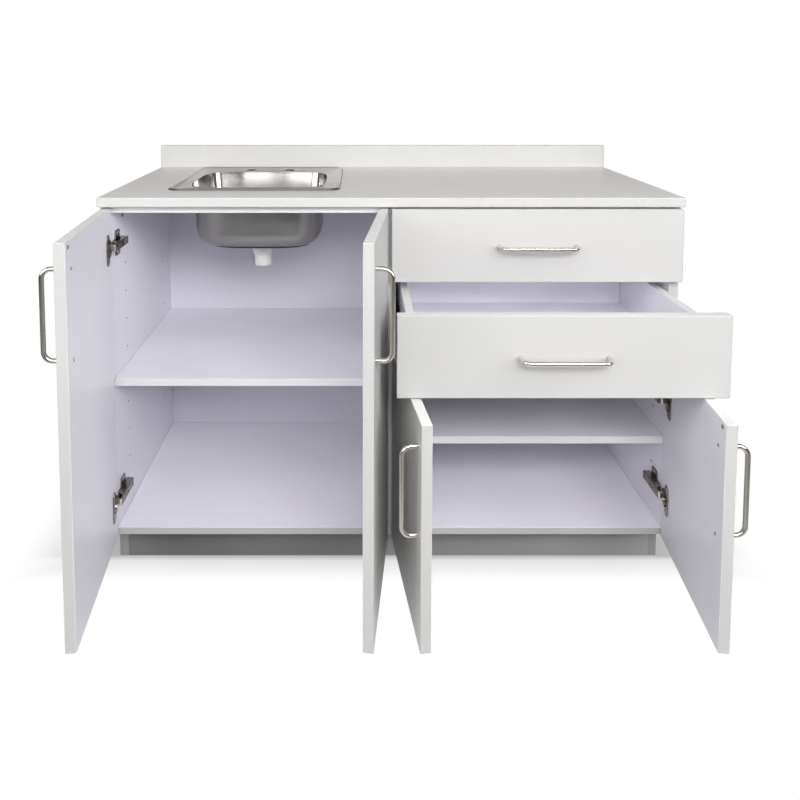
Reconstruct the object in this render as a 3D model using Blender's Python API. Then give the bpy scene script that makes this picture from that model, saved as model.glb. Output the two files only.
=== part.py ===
import math

import bmesh
import bpy
from mathutils import Matrix, Vector

for item in list(bpy.data.objects):
    bpy.data.objects.remove(item, do_unlink=True)

MM = 0.001

# Driving sizes, in millimetres. X runs right, Y runs to the wall, Z runs up from the floor.
CABINET_WIDTH = 1219.2
CABINET_DEPTH = 463.0
WORKTOP_HEIGHT = 838.2
WORKTOP_THICK = 19.5
SPLASH_HEIGHT = 60.0
SPLASH_THICK = 18.6
FRONT_Y = -220.0
SIDE_THICK = 19.05
BOARD_THICK = 16.0
BACK_THICK = 16.0
TOE_HEIGHT = 96.0
TOE_RECESS = 66.0
JOINT_GAP = 0.3
EDGE_BREAK = 0.8
TOP_EDGE_BREAK = 1.2
CUT_OVER = 20.0

# Doors and drawer fronts
FRONT_THICK = 19.05
FRONT_GAP = 4.0
FRONT_REVEAL = 2.0
TOP_GAP = 4.9
STACK_GAP = 2.5
PAIR_GAP = 4.0
DRAWER_FRONT_HEIGHT = 153.0

# Concealed hinges: the pin lies inside the cup, behind the hinge edge of the door
PIN_FROM_EDGE = 10.0
PIN_LIFT = 4.4
PIN_RADIUS = 1.25
PIN_CLEARANCE = 0.35
EYE_WALL = 1.3
EYE_STEPS = 10
ARM_REACH = 16.6
ARM_SHEET = 2.4
ARM_HALF_HEIGHT = 7.0
CHEEK_THICK = 1.8
ARM_LENGTH = 78.0
ARM_BEND = 3.4
BEND_STEPS = 3
ARM_FILLET = 1.0
CHEEK_FRONT = 3.0
CHEEK_SLOPE = 6.0
CHEEK_TAIL = 12.0
CHEEK_EDGE = 5.0
CHEEK_CLEARANCE = 1.2
PLATE_THICK = 2.6
PLATE_HALF_HEIGHT = 28.0
PLATE_FROM_FRONT = 37.0
PLATE_WING = 24.0
PLATE_FLARE = 2.0
PLATE_NECK = 9.4
PLATE_SHOULDER = 10.0
PLATE_START = 7.0
PLATE_TAIL = 10.0
CUP_RADIUS = 17.5
CUP_WALL = 1.0
CUP_SKIN = 2.65
CUP_FLOOR = 0.9
RIM_BEAD = 0.25
BORE_CLEARANCE = 0.3
BORE_MARGIN = 3.7
FLANGE_HALF_HEIGHT = 32.5
FLANGE_THICK = 1.7
FLANGE_RIM = 1.9
FLANGE_FAR_RIM = 2.5
FLANGE_TURNS = (96, 136, 159)
EAR_WIDTH = 10.0
EAR_FROM_CUP = 5.0
TALL_HINGE_INSET = 83.0
SHORT_HINGE_INSET = 99.0

# Angle of each door and travel of the lower drawer as they stand
LEFT_TALL_OPEN = 83.8
RIGHT_TALL_OPEN = 82.7
LEFT_SHORT_OPEN = 83.4
RIGHT_SHORT_OPEN = 83.4
LOWER_DRAWER_OUT = 191.0

# Bent wire pulls
PULL_CENTRES = 160.0
PULL_WIRE = 8.6
PULL_REACH = 34.5
PULL_BEND = 13.0
PULL_FROM_TOP = 130.0
PULL_FROM_EDGE = 27.0

# Drawer boxes and slides
SLIDE_SPACE = 12.7
BOX_LENGTH = 400.0
BOX_LIFT = 18.0
BOX_TOP_DROP = 18.0
BOX_BOTTOM_LIFT = 16.0
BOX_BOTTOM_THICK = 6.0
GROOVE_DEPTH = 6.0
SLIDE_LENGTH = 396.0
SLIDE_HEIGHT = 42.0
SLIDE_SHEET = 1.5
SLIDE_LIFT = 40.0
SLIDE_LIP = 5.0
SLIDE_FROM_BOX = 2.2
SLIDE_SETBACK = 1.0
RUNNER_CLEARANCE = 0.6

# Shelves and their peg holes
LEFT_SHELF_DROP = 12.9
RIGHT_SHELF_LIFT = 14.9
SHELF_SETBACK = 3.0
SHELF_END_GAP = 0.5
PEG_RADIUS = 2.6
PEG_DEPTH = 8.0
PEG_PITCH = 64.0
LEFT_PEG_DROP = 10.2
LEFT_PEG_ROWS = 8
LEFT_ROWS_ABOVE = 4
RIGHT_PEG_DROP = 6.5
RIGHT_PEG_ROWS = 3
RIGHT_ROWS_ABOVE = 1
FRONT_PEG_LEFT = 89.0
FRONT_PEG_RIGHT = 59.0
REAR_PEG = 374.0

# Sink
SINK_X = -299.5
SINK_HALF_WIDTH = 190.5
SINK_DEPTH = 357.0
SINK_FROM_SPLASH = 15.4
SINK_CORNER = 32.0
SINK_SHEET = 1.0
SINK_DECK = 1.6
SIDE_DECK = 35.5
FRONT_DECK = 28.0
REAR_DECK = 84.0
RAIL_FROM_BOWL = 15.0
BOWL_CORNER = 60.0
BOWL_DEPTH = 143.0
BOWL_FILLET = 43.0
BOWL_LIP = 8.0
BOWL_TAPER = 5.5
FLOOR_FALL = 1.5
CUTOUT_INSET = 11.0
CUTOUT_STEPS = 5
CORNER_STEPS = 6
TAP_HOLE_RADIUS = 17.0
TAP_HOLE_SPACING = 101.6
TAP_FROM_BACK = 50.0
DRAIN_HOLE_RADIUS = 24.5
DRAIN_SEAT_RADIUS = 39.0
DRAIN_SEAT_DEPTH = 2.4
DRAIN_CLEARANCE = 1.5
STRAINER_TUBE = 24.0
STRAINER_WALL = 2.6
STRAINER_WELL = 9.5
STRAINER_MIDDLE = 6.0
STRAINER_HOLE = 3.4
STRAINER_HOLES = 6
NUT_WALL = 5.0
NUT_RIB = 1.26
NUT_FLOOR = 3.0
NUT_BELOW_TUBE = 8.0
TAIL_STEP = 2.7
TAIL_WALL = 2.2
TAIL_END = 214.0

# Sizes that follow from the ones above
HALF_WIDTH = CABINET_WIDTH / 2
INNER_X = HALF_WIDTH - SIDE_THICK
HALF_WALL = SIDE_THICK / 2
CARCASS_TOP = WORKTOP_HEIGHT - WORKTOP_THICK - JOINT_GAP
REAR_Y = FRONT_Y + CABINET_DEPTH
BACK_FACE_Y = REAR_Y - BACK_THICK
FLOOR_TOP = TOE_HEIGHT + BOARD_THICK
FRONT_FACE_Y = FRONT_Y - FRONT_GAP - FRONT_THICK
WORKTOP_FRONT_Y = FRONT_FACE_Y
RAIL_BOTTOM = CARCASS_TOP - BOARD_THICK
FRONT_TOP = WORKTOP_HEIGHT - WORKTOP_THICK - TOP_GAP
FRONT_WIDTH = HALF_WIDTH - 2 * FRONT_REVEAL
DOOR_WIDTH = (FRONT_WIDTH - PAIR_GAP) / 2
UPPER_FRONT_BOTTOM = FRONT_TOP - DRAWER_FRONT_HEIGHT
LOWER_FRONT_TOP = UPPER_FRONT_BOTTOM - STACK_GAP
LOWER_FRONT_BOTTOM = LOWER_FRONT_TOP - DRAWER_FRONT_HEIGHT
SHORT_DOOR_TOP = LOWER_FRONT_BOTTOM - STACK_GAP
LEFT_SHELF_TOP = (FRONT_TOP + TOE_HEIGHT) / 2 - LEFT_SHELF_DROP
RIGHT_SHELF_TOP = (SHORT_DOOR_TOP + TOE_HEIGHT) / 2 + RIGHT_SHELF_LIFT
LEFT_PEG_TOP = LEFT_SHELF_TOP - BOARD_THICK - LEFT_PEG_DROP + LEFT_ROWS_ABOVE * PEG_PITCH
RIGHT_PEG_TOP = RIGHT_SHELF_TOP - BOARD_THICK - RIGHT_PEG_DROP + RIGHT_ROWS_ABOVE * PEG_PITCH
CUP_DEPTH = FRONT_THICK - CUP_SKIN
CUP_FROM_EDGE = CUP_RADIUS + BORE_CLEARANCE + BORE_MARGIN
PIN_FROM_FACE = CUP_DEPTH - PIN_LIFT
EYE_RADIUS = PIN_RADIUS + PIN_CLEARANCE + EYE_WALL
PIN_OUT = FRONT_GAP + PIN_FROM_FACE
PIN_IN = FRONT_REVEAL + PIN_FROM_EDGE
BOX_HEIGHT = DRAWER_FRONT_HEIGHT - BOX_LIFT - BOX_TOP_DROP
SINK_BACK_Y = REAR_Y - SPLASH_THICK - SINK_FROM_SPLASH
SINK_FRONT_Y = SINK_BACK_Y - SINK_DEPTH
SINK_Y = (SINK_FRONT_Y + SINK_BACK_Y) / 2
SINK_HALF_DEPTH = SINK_DEPTH / 2
BOWL_FRONT_Y = SINK_FRONT_Y + FRONT_DECK
BOWL_BACK_Y = SINK_BACK_Y - REAR_DECK
BOWL_Y = (BOWL_FRONT_Y + BOWL_BACK_Y) / 2
BOWL_HALF_DEPTH = (BOWL_BACK_Y - BOWL_FRONT_Y) / 2
BOWL_HALF_WIDTH = SINK_HALF_WIDTH - SIDE_DECK
RAIL_DEPTH = BOWL_FRONT_Y - FRONT_Y - RAIL_FROM_BOWL
TAP_Y = SINK_BACK_Y - TAP_FROM_BACK

# Turns a flat outline drawn in X and Y to stand in X and Z, or in Y and Z
STAND_XZ = Matrix(((1, 0, 0, 0), (0, 0, 1, 0), (0, 1, 0, 0), (0, 0, 0, 1)))
STAND_YZ = Matrix(((0, 0, 1, 0), (1, 0, 0, 0), (0, 1, 0, 0), (0, 0, 0, 1)))

FINISHES = {
    "laminate": ((0.80, 0.79, 0.77), 0.42, 0.0),
    "front": ((0.84, 0.83, 0.81), 0.38, 0.0),
    "worktop": ((0.66, 0.66, 0.65), 0.35, 0.0),
    "inside": ((0.72, 0.71, 0.75), 0.5, 0.0),
    "nickel": ((0.48, 0.45, 0.41), 0.32, 1.0),
    "zinc": ((0.55, 0.53, 0.5), 0.35, 1.0),
    "stainless": ((0.62, 0.62, 0.6), 0.28, 1.0),
    "plastic": ((0.82, 0.82, 0.8), 0.4, 0.0),
}


def finish(obj, kind):
    colour, roughness, metallic = FINISHES[kind]
    material = bpy.data.materials.new(obj.name + "_" + kind)
    material.use_nodes = True
    shader = material.node_tree.nodes["Principled BSDF"]
    shader.inputs["Base Color"].default_value = (*colour, 1.0)
    shader.inputs["Roughness"].default_value = roughness
    shader.inputs["Metallic"].default_value = metallic
    obj.data.materials.clear()
    obj.data.materials.append(material)


def add_object(name, bm, place=(0, 0, 0), parent=None):
    bmesh.ops.recalc_face_normals(bm, faces=bm.faces[:])
    bmesh.ops.scale(bm, vec=(MM, MM, MM), verts=bm.verts[:])
    mesh = bpy.data.meshes.new(name)
    bm.to_mesh(mesh)
    bm.free()
    obj = bpy.data.objects.new(name, mesh)
    bpy.context.scene.collection.objects.link(obj)
    obj.location = Vector(place) * MM
    if parent is not None:
        obj.parent = parent
    return obj


def add_empty(name, place, turn=0.0):
    empty = bpy.data.objects.new(name, None)
    bpy.context.scene.collection.objects.link(empty)
    empty.location = Vector(place) * MM
    empty.rotation_euler = (0, 0, math.radians(turn))
    return empty


def box_mesh(low, high, edge=0.0):
    bm = bmesh.new()
    size = [high[i] - low[i] for i in range(3)]
    middle = [(high[i] + low[i]) / 2 for i in range(3)]
    matrix = Matrix.Translation(middle) @ Matrix.Diagonal((*size, 1.0))
    bmesh.ops.create_cube(bm, size=1.0, matrix=matrix)
    if edge:
        bmesh.ops.bevel(bm, geom=bm.edges[:], offset=edge, segments=1, profile=0.5, affect="EDGES")
    return bm


def board(name, low, high, kind, edge=0.0, parent=None, origin=(0, 0, 0)):
    """A flat board between two corners, which are measured from the origin given."""
    middle = [(high[i] + low[i]) / 2 for i in range(3)]
    half = [(high[i] - low[i]) / 2 for i in range(3)]
    bm = box_mesh([-h for h in half], half, edge)
    obj = add_object(name, bm, [middle[i] - origin[i] for i in range(3)], parent)
    finish(obj, kind)
    return obj


def add_loop(bm, points):
    verts = [bm.verts.new(p) for p in points]
    return [bm.edges.new((verts[i - 1], verts[i])) for i in range(len(verts))]


def prism_mesh(loops, low, high):
    """Loops of X and Y points, the first one outside and the rest holes, drawn out along Z."""
    bm = bmesh.new()
    edges = []
    for loop in loops:
        edges += add_loop(bm, [(x, y, low) for x, y in loop])
    bmesh.ops.triangle_fill(bm, use_beauty=True, use_dissolve=False, edges=edges)
    drawn = bmesh.ops.extrude_face_region(bm, geom=bm.faces[:])
    moved = [v for v in drawn["geom"] if isinstance(v, bmesh.types.BMVert)]
    bmesh.ops.translate(bm, vec=(0, 0, high - low), verts=moved)
    return bm


def circle(centre, radius, count, start=0.0):
    turns = [start + 2 * math.pi * i / count for i in range(count)]
    return [(centre[0] + radius * math.cos(t), centre[1] + radius * math.sin(t)) for t in turns]


def lathe_mesh(profile, count):
    """A closed profile of radius and height points, turned about Z."""
    bm = bmesh.new()
    rings = []
    for radius, height in profile:
        rings.append([bm.verts.new((x, y, height)) for x, y in circle((0, 0), radius, count)])
    for r in range(len(rings)):
        lower, upper = rings[r - 1], rings[r]
        for i in range(count):
            bm.faces.new((lower[i - 1], lower[i], upper[i], upper[i - 1]))
    return bm


def rounded_ring(centre, half_x, half_y, radius, steps):
    points = []
    corners = ((1, 1, 0), (-1, 1, 90), (-1, -1, 180), (1, -1, 270))
    for sx, sy, start in corners:
        cx = centre[0] + sx * (half_x - radius)
        cy = centre[1] + sy * (half_y - radius)
        for i in range(steps + 1):
            turn = math.radians(start + 90.0 * i / steps)
            points.append((cx + radius * math.cos(turn), cy + radius * math.sin(turn)))
    return points


def mark_cutter(obj):
    obj.hide_render = True
    obj.display_type = "WIRE"
    return obj


def join_boolean(obj, other, operation):
    modifier = obj.modifiers.new(operation.lower(), "BOOLEAN")
    modifier.operation = operation
    modifier.solver = "EXACT"
    modifier.object = other
    return modifier


def cut(obj, name, meshes, place=(0, 0, 0), parent=None):
    """Takes the given meshes out of a piece with one cutter."""
    whole = bmesh.new()
    for bm in meshes:
        bmesh.ops.recalc_face_normals(bm, faces=bm.faces[:])
        part = bpy.data.meshes.new("part")
        bm.to_mesh(part)
        bm.free()
        whole.from_mesh(part)
        bpy.data.meshes.remove(part)
    cutter = mark_cutter(add_object(name, whole, place, parent))
    join_boolean(obj, cutter, "DIFFERENCE")
    return cutter


def fused_mesh(name, meshes):
    """Several overlapping solids made into one mesh."""
    pieces = [add_object(name + "_" + str(i), bm) for i, bm in enumerate(meshes)]
    for other in pieces[1:]:
        join_boolean(pieces[0], other, "UNION")
    bpy.context.view_layer.update()
    graph = bpy.context.evaluated_depsgraph_get()
    mesh = bpy.data.meshes.new_from_object(pieces[0].evaluated_get(graph))
    mesh.name = name
    for piece in pieces:
        bpy.data.objects.remove(piece, do_unlink=True)
    return mesh


def mirrored(mesh, name):
    bm = bmesh.new()
    bm.from_mesh(mesh)
    bmesh.ops.scale(bm, vec=(-1, 1, 1), verts=bm.verts[:])
    bmesh.ops.reverse_faces(bm, faces=bm.faces[:])
    copy = bpy.data.meshes.new(name)
    bm.to_mesh(copy)
    bm.free()
    return copy


def place_mesh(name, mesh, place, kind, parent=None):
    obj = bpy.data.objects.new(name, mesh.copy())
    obj.data.name = name
    bpy.context.scene.collection.objects.link(obj)
    obj.location = Vector(place) * MM
    if parent is not None:
        obj.parent = parent
    finish(obj, kind)
    return obj


def turned_cylinder(radius, length, count, axis):
    bm = bmesh.new()
    bmesh.ops.create_cone(
        bm, cap_ends=True, cap_tris=False, segments=count, radius1=radius, radius2=radius, depth=length
    )
    if axis == "X":
        bmesh.ops.rotate(bm, matrix=Matrix.Rotation(math.pi / 2, 3, "Y"), verts=bm.verts[:])
    if axis == "Y":
        bmesh.ops.rotate(bm, matrix=Matrix.Rotation(math.pi / 2, 3, "X"), verts=bm.verts[:])
    return bm


def moved_mesh(bm, offset):
    bmesh.ops.translate(bm, vec=offset, verts=bm.verts[:])
    return bm


# Carcass
def peg_cutters(face_x, top, rows, columns):
    """Rows of blind peg holes in a panel face."""
    found = []
    for depth in columns:
        for row in range(rows):
            hole = turned_cylinder(PEG_RADIUS, 2 * PEG_DEPTH, 8, "X")
            found.append(moved_mesh(hole, (face_x, FRONT_Y + depth, top - row * PEG_PITCH)))
    return found


def toe_cutter(low_x, high_x, depth):
    low = (low_x - CUT_OVER, FRONT_Y - CUT_OVER, -CUT_OVER)
    return box_mesh(low, (high_x + CUT_OVER, FRONT_Y + depth, TOE_HEIGHT - JOINT_GAP))


left_holes = (FRONT_PEG_LEFT, REAR_PEG)
right_holes = (FRONT_PEG_RIGHT, REAR_PEG)

left_side = board(
    "left_side_panel", (-HALF_WIDTH, FRONT_Y, 0), (-INNER_X, REAR_Y, CARCASS_TOP), "laminate", EDGE_BREAK
)
cut(
    left_side,
    "left_side_cuts",
    [toe_cutter(-HALF_WIDTH, -INNER_X, TOE_RECESS)]
    + peg_cutters(-INNER_X, LEFT_PEG_TOP, LEFT_PEG_ROWS, left_holes),
)

right_side = board(
    "right_side_panel", (INNER_X, FRONT_Y, 0), (HALF_WIDTH, REAR_Y, CARCASS_TOP), "laminate", EDGE_BREAK
)
cut(
    right_side,
    "right_side_cuts",
    [toe_cutter(INNER_X, HALF_WIDTH, TOE_RECESS)]
    + peg_cutters(INNER_X, RIGHT_PEG_TOP, RIGHT_PEG_ROWS, right_holes),
)

partition = board(
    "centre_partition",
    (-HALF_WALL, FRONT_Y, 0),
    (HALF_WALL, BACK_FACE_Y - JOINT_GAP, CARCASS_TOP),
    "laminate",
)
rail_notch = box_mesh(
    (-HALF_WALL - CUT_OVER, FRONT_Y - CUT_OVER, RAIL_BOTTOM - JOINT_GAP),
    (HALF_WALL + CUT_OVER, FRONT_Y + RAIL_DEPTH + JOINT_GAP, CARCASS_TOP + CUT_OVER),
)
cut(
    partition,
    "partition_cuts",
    [toe_cutter(-HALF_WALL, HALF_WALL, TOE_RECESS + BOARD_THICK + JOINT_GAP), rail_notch]
    + peg_cutters(-HALF_WALL, LEFT_PEG_TOP, LEFT_PEG_ROWS, left_holes)
    + peg_cutters(HALF_WALL, RIGHT_PEG_TOP, RIGHT_PEG_ROWS, right_holes),
)

inner_end = INNER_X - JOINT_GAP
wall_end = HALF_WALL + JOINT_GAP
panel_rear = BACK_FACE_Y - JOINT_GAP
for label, low_x, high_x in (("left", -inner_end, -wall_end), ("right", wall_end, inner_end)):
    board(
        label + "_bottom_panel",
        (low_x, FRONT_Y, TOE_HEIGHT),
        (high_x, panel_rear, FLOOR_TOP),
        "inside",
        EDGE_BREAK,
    )
board(
    "toe_kick",
    (-inner_end, FRONT_Y + TOE_RECESS, 0),
    (inner_end, FRONT_Y + TOE_RECESS + BOARD_THICK, TOE_HEIGHT - JOINT_GAP),
    "laminate",
)
board("back_panel", (-inner_end, BACK_FACE_Y, 0), (inner_end, REAR_Y, CARCASS_TOP), "inside")
board(
    "front_rail",
    (-inner_end, FRONT_Y, RAIL_BOTTOM),
    (inner_end, FRONT_Y + RAIL_DEPTH, CARCASS_TOP),
    "inside",
    EDGE_BREAK,
)

left_end = INNER_X - SHELF_END_GAP
mid_end = HALF_WALL + SHELF_END_GAP
shelf_front = FRONT_Y + SHELF_SETBACK
shelf_rear = BACK_FACE_Y - JOINT_GAP
board(
    "left_shelf",
    (-left_end, shelf_front, LEFT_SHELF_TOP - BOARD_THICK),
    (-mid_end, shelf_rear, LEFT_SHELF_TOP),
    "inside",
    EDGE_BREAK,
)
board(
    "right_shelf",
    (mid_end, shelf_front, RIGHT_SHELF_TOP - BOARD_THICK),
    (left_end, shelf_rear, RIGHT_SHELF_TOP),
    "inside",
    EDGE_BREAK,
)

# Worktop and upstand
worktop = board(
    "worktop",
    (-HALF_WIDTH, WORKTOP_FRONT_Y, WORKTOP_HEIGHT - WORKTOP_THICK),
    (HALF_WIDTH, REAR_Y, WORKTOP_HEIGHT),
    "worktop",
    TOP_EDGE_BREAK,
)
cutout = rounded_ring(
    (SINK_X, SINK_Y),
    SINK_HALF_WIDTH - CUTOUT_INSET,
    SINK_HALF_DEPTH - CUTOUT_INSET,
    SINK_CORNER - CUTOUT_INSET,
    CUTOUT_STEPS,
)
cutout_low = WORKTOP_HEIGHT - WORKTOP_THICK - CUT_OVER
cut(worktop, "sink_cutout", [prism_mesh([cutout], cutout_low, WORKTOP_HEIGHT + CUT_OVER)])
board(
    "backsplash",
    (-HALF_WIDTH, REAR_Y - SPLASH_THICK, WORKTOP_HEIGHT + JOINT_GAP),
    (HALF_WIDTH, REAR_Y, WORKTOP_HEIGHT + SPLASH_HEIGHT),
    "worktop",
    TOP_EDGE_BREAK,
)

# Sink: rounded rings follow the drawn sheet from the rim over the deck and down to the drain,
# and the same rings set off by the sheet thickness come back underneath
rim = ((SINK_X, SINK_Y), SINK_HALF_WIDTH, SINK_HALF_DEPTH, SINK_CORNER)
bowl = ((SINK_X, BOWL_Y), BOWL_HALF_WIDTH, BOWL_HALF_DEPTH, BOWL_CORNER)
fillet_start = -(BOWL_DEPTH - BOWL_FILLET)
deep = BOWL_LIP + BOWL_TAPER
low_floor = -BOWL_DEPTH - FLOOR_FALL
seat = low_floor - DRAIN_SEAT_DEPTH


def fillet_at(turn):
    reach = math.radians(turn)
    inset = deep + BOWL_FILLET * (1 - math.cos(reach))
    height = fillet_start - BOWL_FILLET * math.sin(reach)
    return inset, height


# Each row is: outline, inset, height, and the way to the underside as inset and height
sheet_rows = [
    (rim, 0.0, 1.4, 0.6, -1.1),
    (rim, 1.2, 2.6, 0.4, -0.9),
    (rim, 5.0, 3.0, 0.0, -1.0),
    (rim, 10.0, 2.4, 0.0, -1.0),
    (rim, 13.0, SINK_DECK, 0.0, -1.0),
    (bowl, 0.0, SINK_DECK, 0.0, -1.0),
    (bowl, 4.0, 0.2, -0.6, -0.8),
    (bowl, 7.0, -3.6, -0.95, -0.3),
    (bowl, BOWL_LIP, -10.0, -1.0, 0.0),
    (bowl, deep, fillet_start, -1.0, 0.0),
]
for turn in (30, 60):
    inset, height = fillet_at(turn)
    reach = math.radians(turn)
    sheet_rows.append((bowl, inset, height, -math.cos(reach), -math.sin(reach)))
inset, height = fillet_at(90)
sheet_rows.append((bowl, inset, height, 0.0, -1.0))

drain_rows = [
    (DRAIN_SEAT_RADIUS + 3.0, low_floor, -1.0),
    (DRAIN_SEAT_RADIUS, seat, -1.0),
    (DRAIN_HOLE_RADIUS, seat, -1.0),
]


def sheet_points(row, under):
    (centre, half_x, half_y, radius), inset, height, side, down = row
    if under:
        inset += side * SINK_SHEET
        height += down * SINK_SHEET
    keep = max(radius - inset * 0.62, 8.0)
    ring = rounded_ring(centre, half_x - inset, half_y - inset, keep, CORNER_STEPS)
    return [(x, y, WORKTOP_HEIGHT + height) for x, y in ring]


def drain_points(row, under):
    radius, height, down = row
    level = WORKTOP_HEIGHT + height + (down * SINK_SHEET if under else 0.0)
    ring = rounded_ring((SINK_X, BOWL_Y), radius, radius, radius, CORNER_STEPS)
    return [(x, y, level) for x, y in ring]


sink_rings = [sheet_points(row, False) for row in sheet_rows]
sink_rings += [drain_points(row, False) for row in drain_rows]
sink_rings += [drain_points(row, True) for row in reversed(drain_rows)]
sink_rings += [sheet_points(row, True) for row in reversed(sheet_rows)]

sink_bm = bmesh.new()
ring_verts = [[sink_bm.verts.new(p) for p in ring] for ring in sink_rings]
for r in range(len(ring_verts)):
    outer, inner = ring_verts[r - 1], ring_verts[r]
    for i in range(len(outer)):
        sink_bm.faces.new((outer[i - 1], outer[i], inner[i], inner[i - 1]))
bmesh.ops.remove_doubles(sink_bm, verts=sink_bm.verts[:], dist=0.01)
sink = add_object("sink_bowl", sink_bm)
finish(sink, "stainless")
tap_holes = []
for side in (-1, 1):
    hole = turned_cylinder(TAP_HOLE_RADIUS, CUT_OVER, 20, "Z")
    spot = (SINK_X + side * TAP_HOLE_SPACING / 2, TAP_Y, WORKTOP_HEIGHT + SINK_DECK)
    tap_holes.append(moved_mesh(hole, spot))
cut(sink, "tap_holes", tap_holes)

# Drain: strainer seated in the bowl, coupling nut and tailpiece below it
drain_place = (SINK_X, BOWL_Y, WORKTOP_HEIGHT)
seat_top = seat + JOINT_GAP
tube_end = seat - STRAINER_TUBE
nut_top = seat - SINK_SHEET - JOINT_GAP
nut_bottom = tube_end - NUT_BELOW_TUBE
tube_radius = DRAIN_HOLE_RADIUS - DRAIN_CLEARANCE
tube_inside = tube_radius - STRAINER_WALL
well = seat_top - STRAINER_WELL
strainer_profile = [
    (DRAIN_SEAT_RADIUS - 1.2, seat_top),
    (DRAIN_SEAT_RADIUS - 1.2, seat_top + 1.2),
    (DRAIN_SEAT_RADIUS - 5.0, seat_top + 2.0),
    (tube_radius - 1.0, seat_top + 1.0),
    (tube_inside, well + 1.5),
    (STRAINER_MIDDLE, well),
    (STRAINER_MIDDLE, well - 2.0),
    (tube_inside, well - 1.0),
    (tube_inside, tube_end),
    (tube_radius, tube_end),
    (tube_radius, seat_top),
]
strainer = add_object("drain_strainer", lathe_mesh(strainer_profile, 24), drain_place)
finish(strainer, "stainless")
holes = []
hole_ring = (tube_inside + STRAINER_MIDDLE) / 2
for x, y in circle((0, 0), hole_ring, STRAINER_HOLES):
    hole = turned_cylinder(STRAINER_HOLE, 8, 8, "Z")
    holes.append(moved_mesh(hole, (x, y, well - 0.5)))
cut(strainer, "strainer_holes", holes, drain_place)

tail_radius = tube_radius - TAIL_STEP
nut_radius = tube_radius + NUT_WALL
ribbed = []
for i, (x, y) in enumerate(circle((0, 0), nut_radius, 36)):
    drawn_in = 1.0 if i % 3 else 1.0 - NUT_RIB / nut_radius
    ribbed.append((x * drawn_in, y * drawn_in))
nut_step = nut_bottom + NUT_FLOOR
tube_hole = circle((0, 0), tube_radius + JOINT_GAP, 24)
tail_hole = circle((0, 0), tail_radius + JOINT_GAP, 24)
nut_face = circle((0, 0), nut_radius - 1.0, 36)
nut_mesh = fused_mesh(
    "drain_nut_shape",
    [
        prism_mesh([ribbed, tube_hole], nut_step, nut_top),
        prism_mesh([nut_face, tail_hole], nut_bottom, nut_step + 0.2),
    ],
)
place_mesh("drain_nut", nut_mesh, drain_place, "plastic")
tail_shoulder = nut_step + 0.2 + JOINT_GAP
tail_profile = [
    (tube_radius - 0.1, tube_end - JOINT_GAP),
    (tube_radius - 0.1, tail_shoulder),
    (tail_radius, tail_shoulder),
    (tail_radius, -TAIL_END),
    (tail_radius - TAIL_WALL, -TAIL_END),
    (tail_radius - TAIL_WALL, tube_end - JOINT_GAP),
]
tailpiece = add_object("drain_tailpiece", lathe_mesh(tail_profile, 24), drain_place)
finish(tailpiece, "plastic")


# Hinges, drawn for a door whose hinge edge is on its left. The pin is the origin, X points
# into the opening and Y points to the wall.
def arm_meshes(face):
    half = ARM_SHEET / 2
    outer = ARM_REACH + half
    inner = ARM_REACH - half
    end = PIN_OUT + ARM_LENGTH
    start = math.asin(half / EYE_RADIUS)
    strip = []
    for i in range(EYE_STEPS + 1):
        turn = start + (2 * math.pi - 2 * start) * i / EYE_STEPS
        strip.append((EYE_RADIUS * math.cos(turn), EYE_RADIUS * math.sin(turn)))
    for i in range(BEND_STEPS + 1):
        turn = math.radians(90 * i / BEND_STEPS - 90)
        across = outer - ARM_BEND + ARM_BEND * math.cos(turn)
        strip.append((across, -half + ARM_BEND + ARM_BEND * math.sin(turn)))
    strip += [(outer, end), (inner, end), (inner, half + ARM_FILLET), (inner - ARM_FILLET, half)]
    bore = circle((0, 0), PIN_RADIUS + PIN_CLEARANCE, 10)
    front = PIN_OUT + CHEEK_FRONT
    near = face + CHEEK_CLEARANCE
    cheek = [
        (outer, front),
        (outer, end),
        (outer - CHEEK_EDGE, end),
        (near, end - CHEEK_TAIL),
        (near, front + CHEEK_SLOPE),
        (outer - CHEEK_EDGE, front),
    ]
    base = face + JOINT_GAP
    middle = PIN_OUT + PLATE_FROM_FRONT
    wing = PLATE_WING / 2
    flare = wing + PLATE_FLARE
    upper = [
        (end - PLATE_TAIL, PLATE_NECK),
        (middle + flare, PLATE_SHOULDER),
        (middle + wing, PLATE_HALF_HEIGHT),
        (middle - wing, PLATE_HALF_HEIGHT),
        (middle - flare, PLATE_SHOULDER),
        (PIN_OUT + PLATE_START, PLATE_NECK),
    ]
    shape = upper + [(y, -z) for y, z in reversed(upper)]
    plate = prism_mesh([shape], base, base + PLATE_THICK)
    bmesh.ops.transform(plate, matrix=STAND_YZ, verts=plate.verts[:])
    low = ARM_HALF_HEIGHT - 0.4
    high = low + CHEEK_THICK
    return [
        prism_mesh([strip, bore], -ARM_HALF_HEIGHT, ARM_HALF_HEIGHT),
        prism_mesh([cheek], low, high),
        prism_mesh([cheek], -high, -low),
        plate,
    ]


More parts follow.
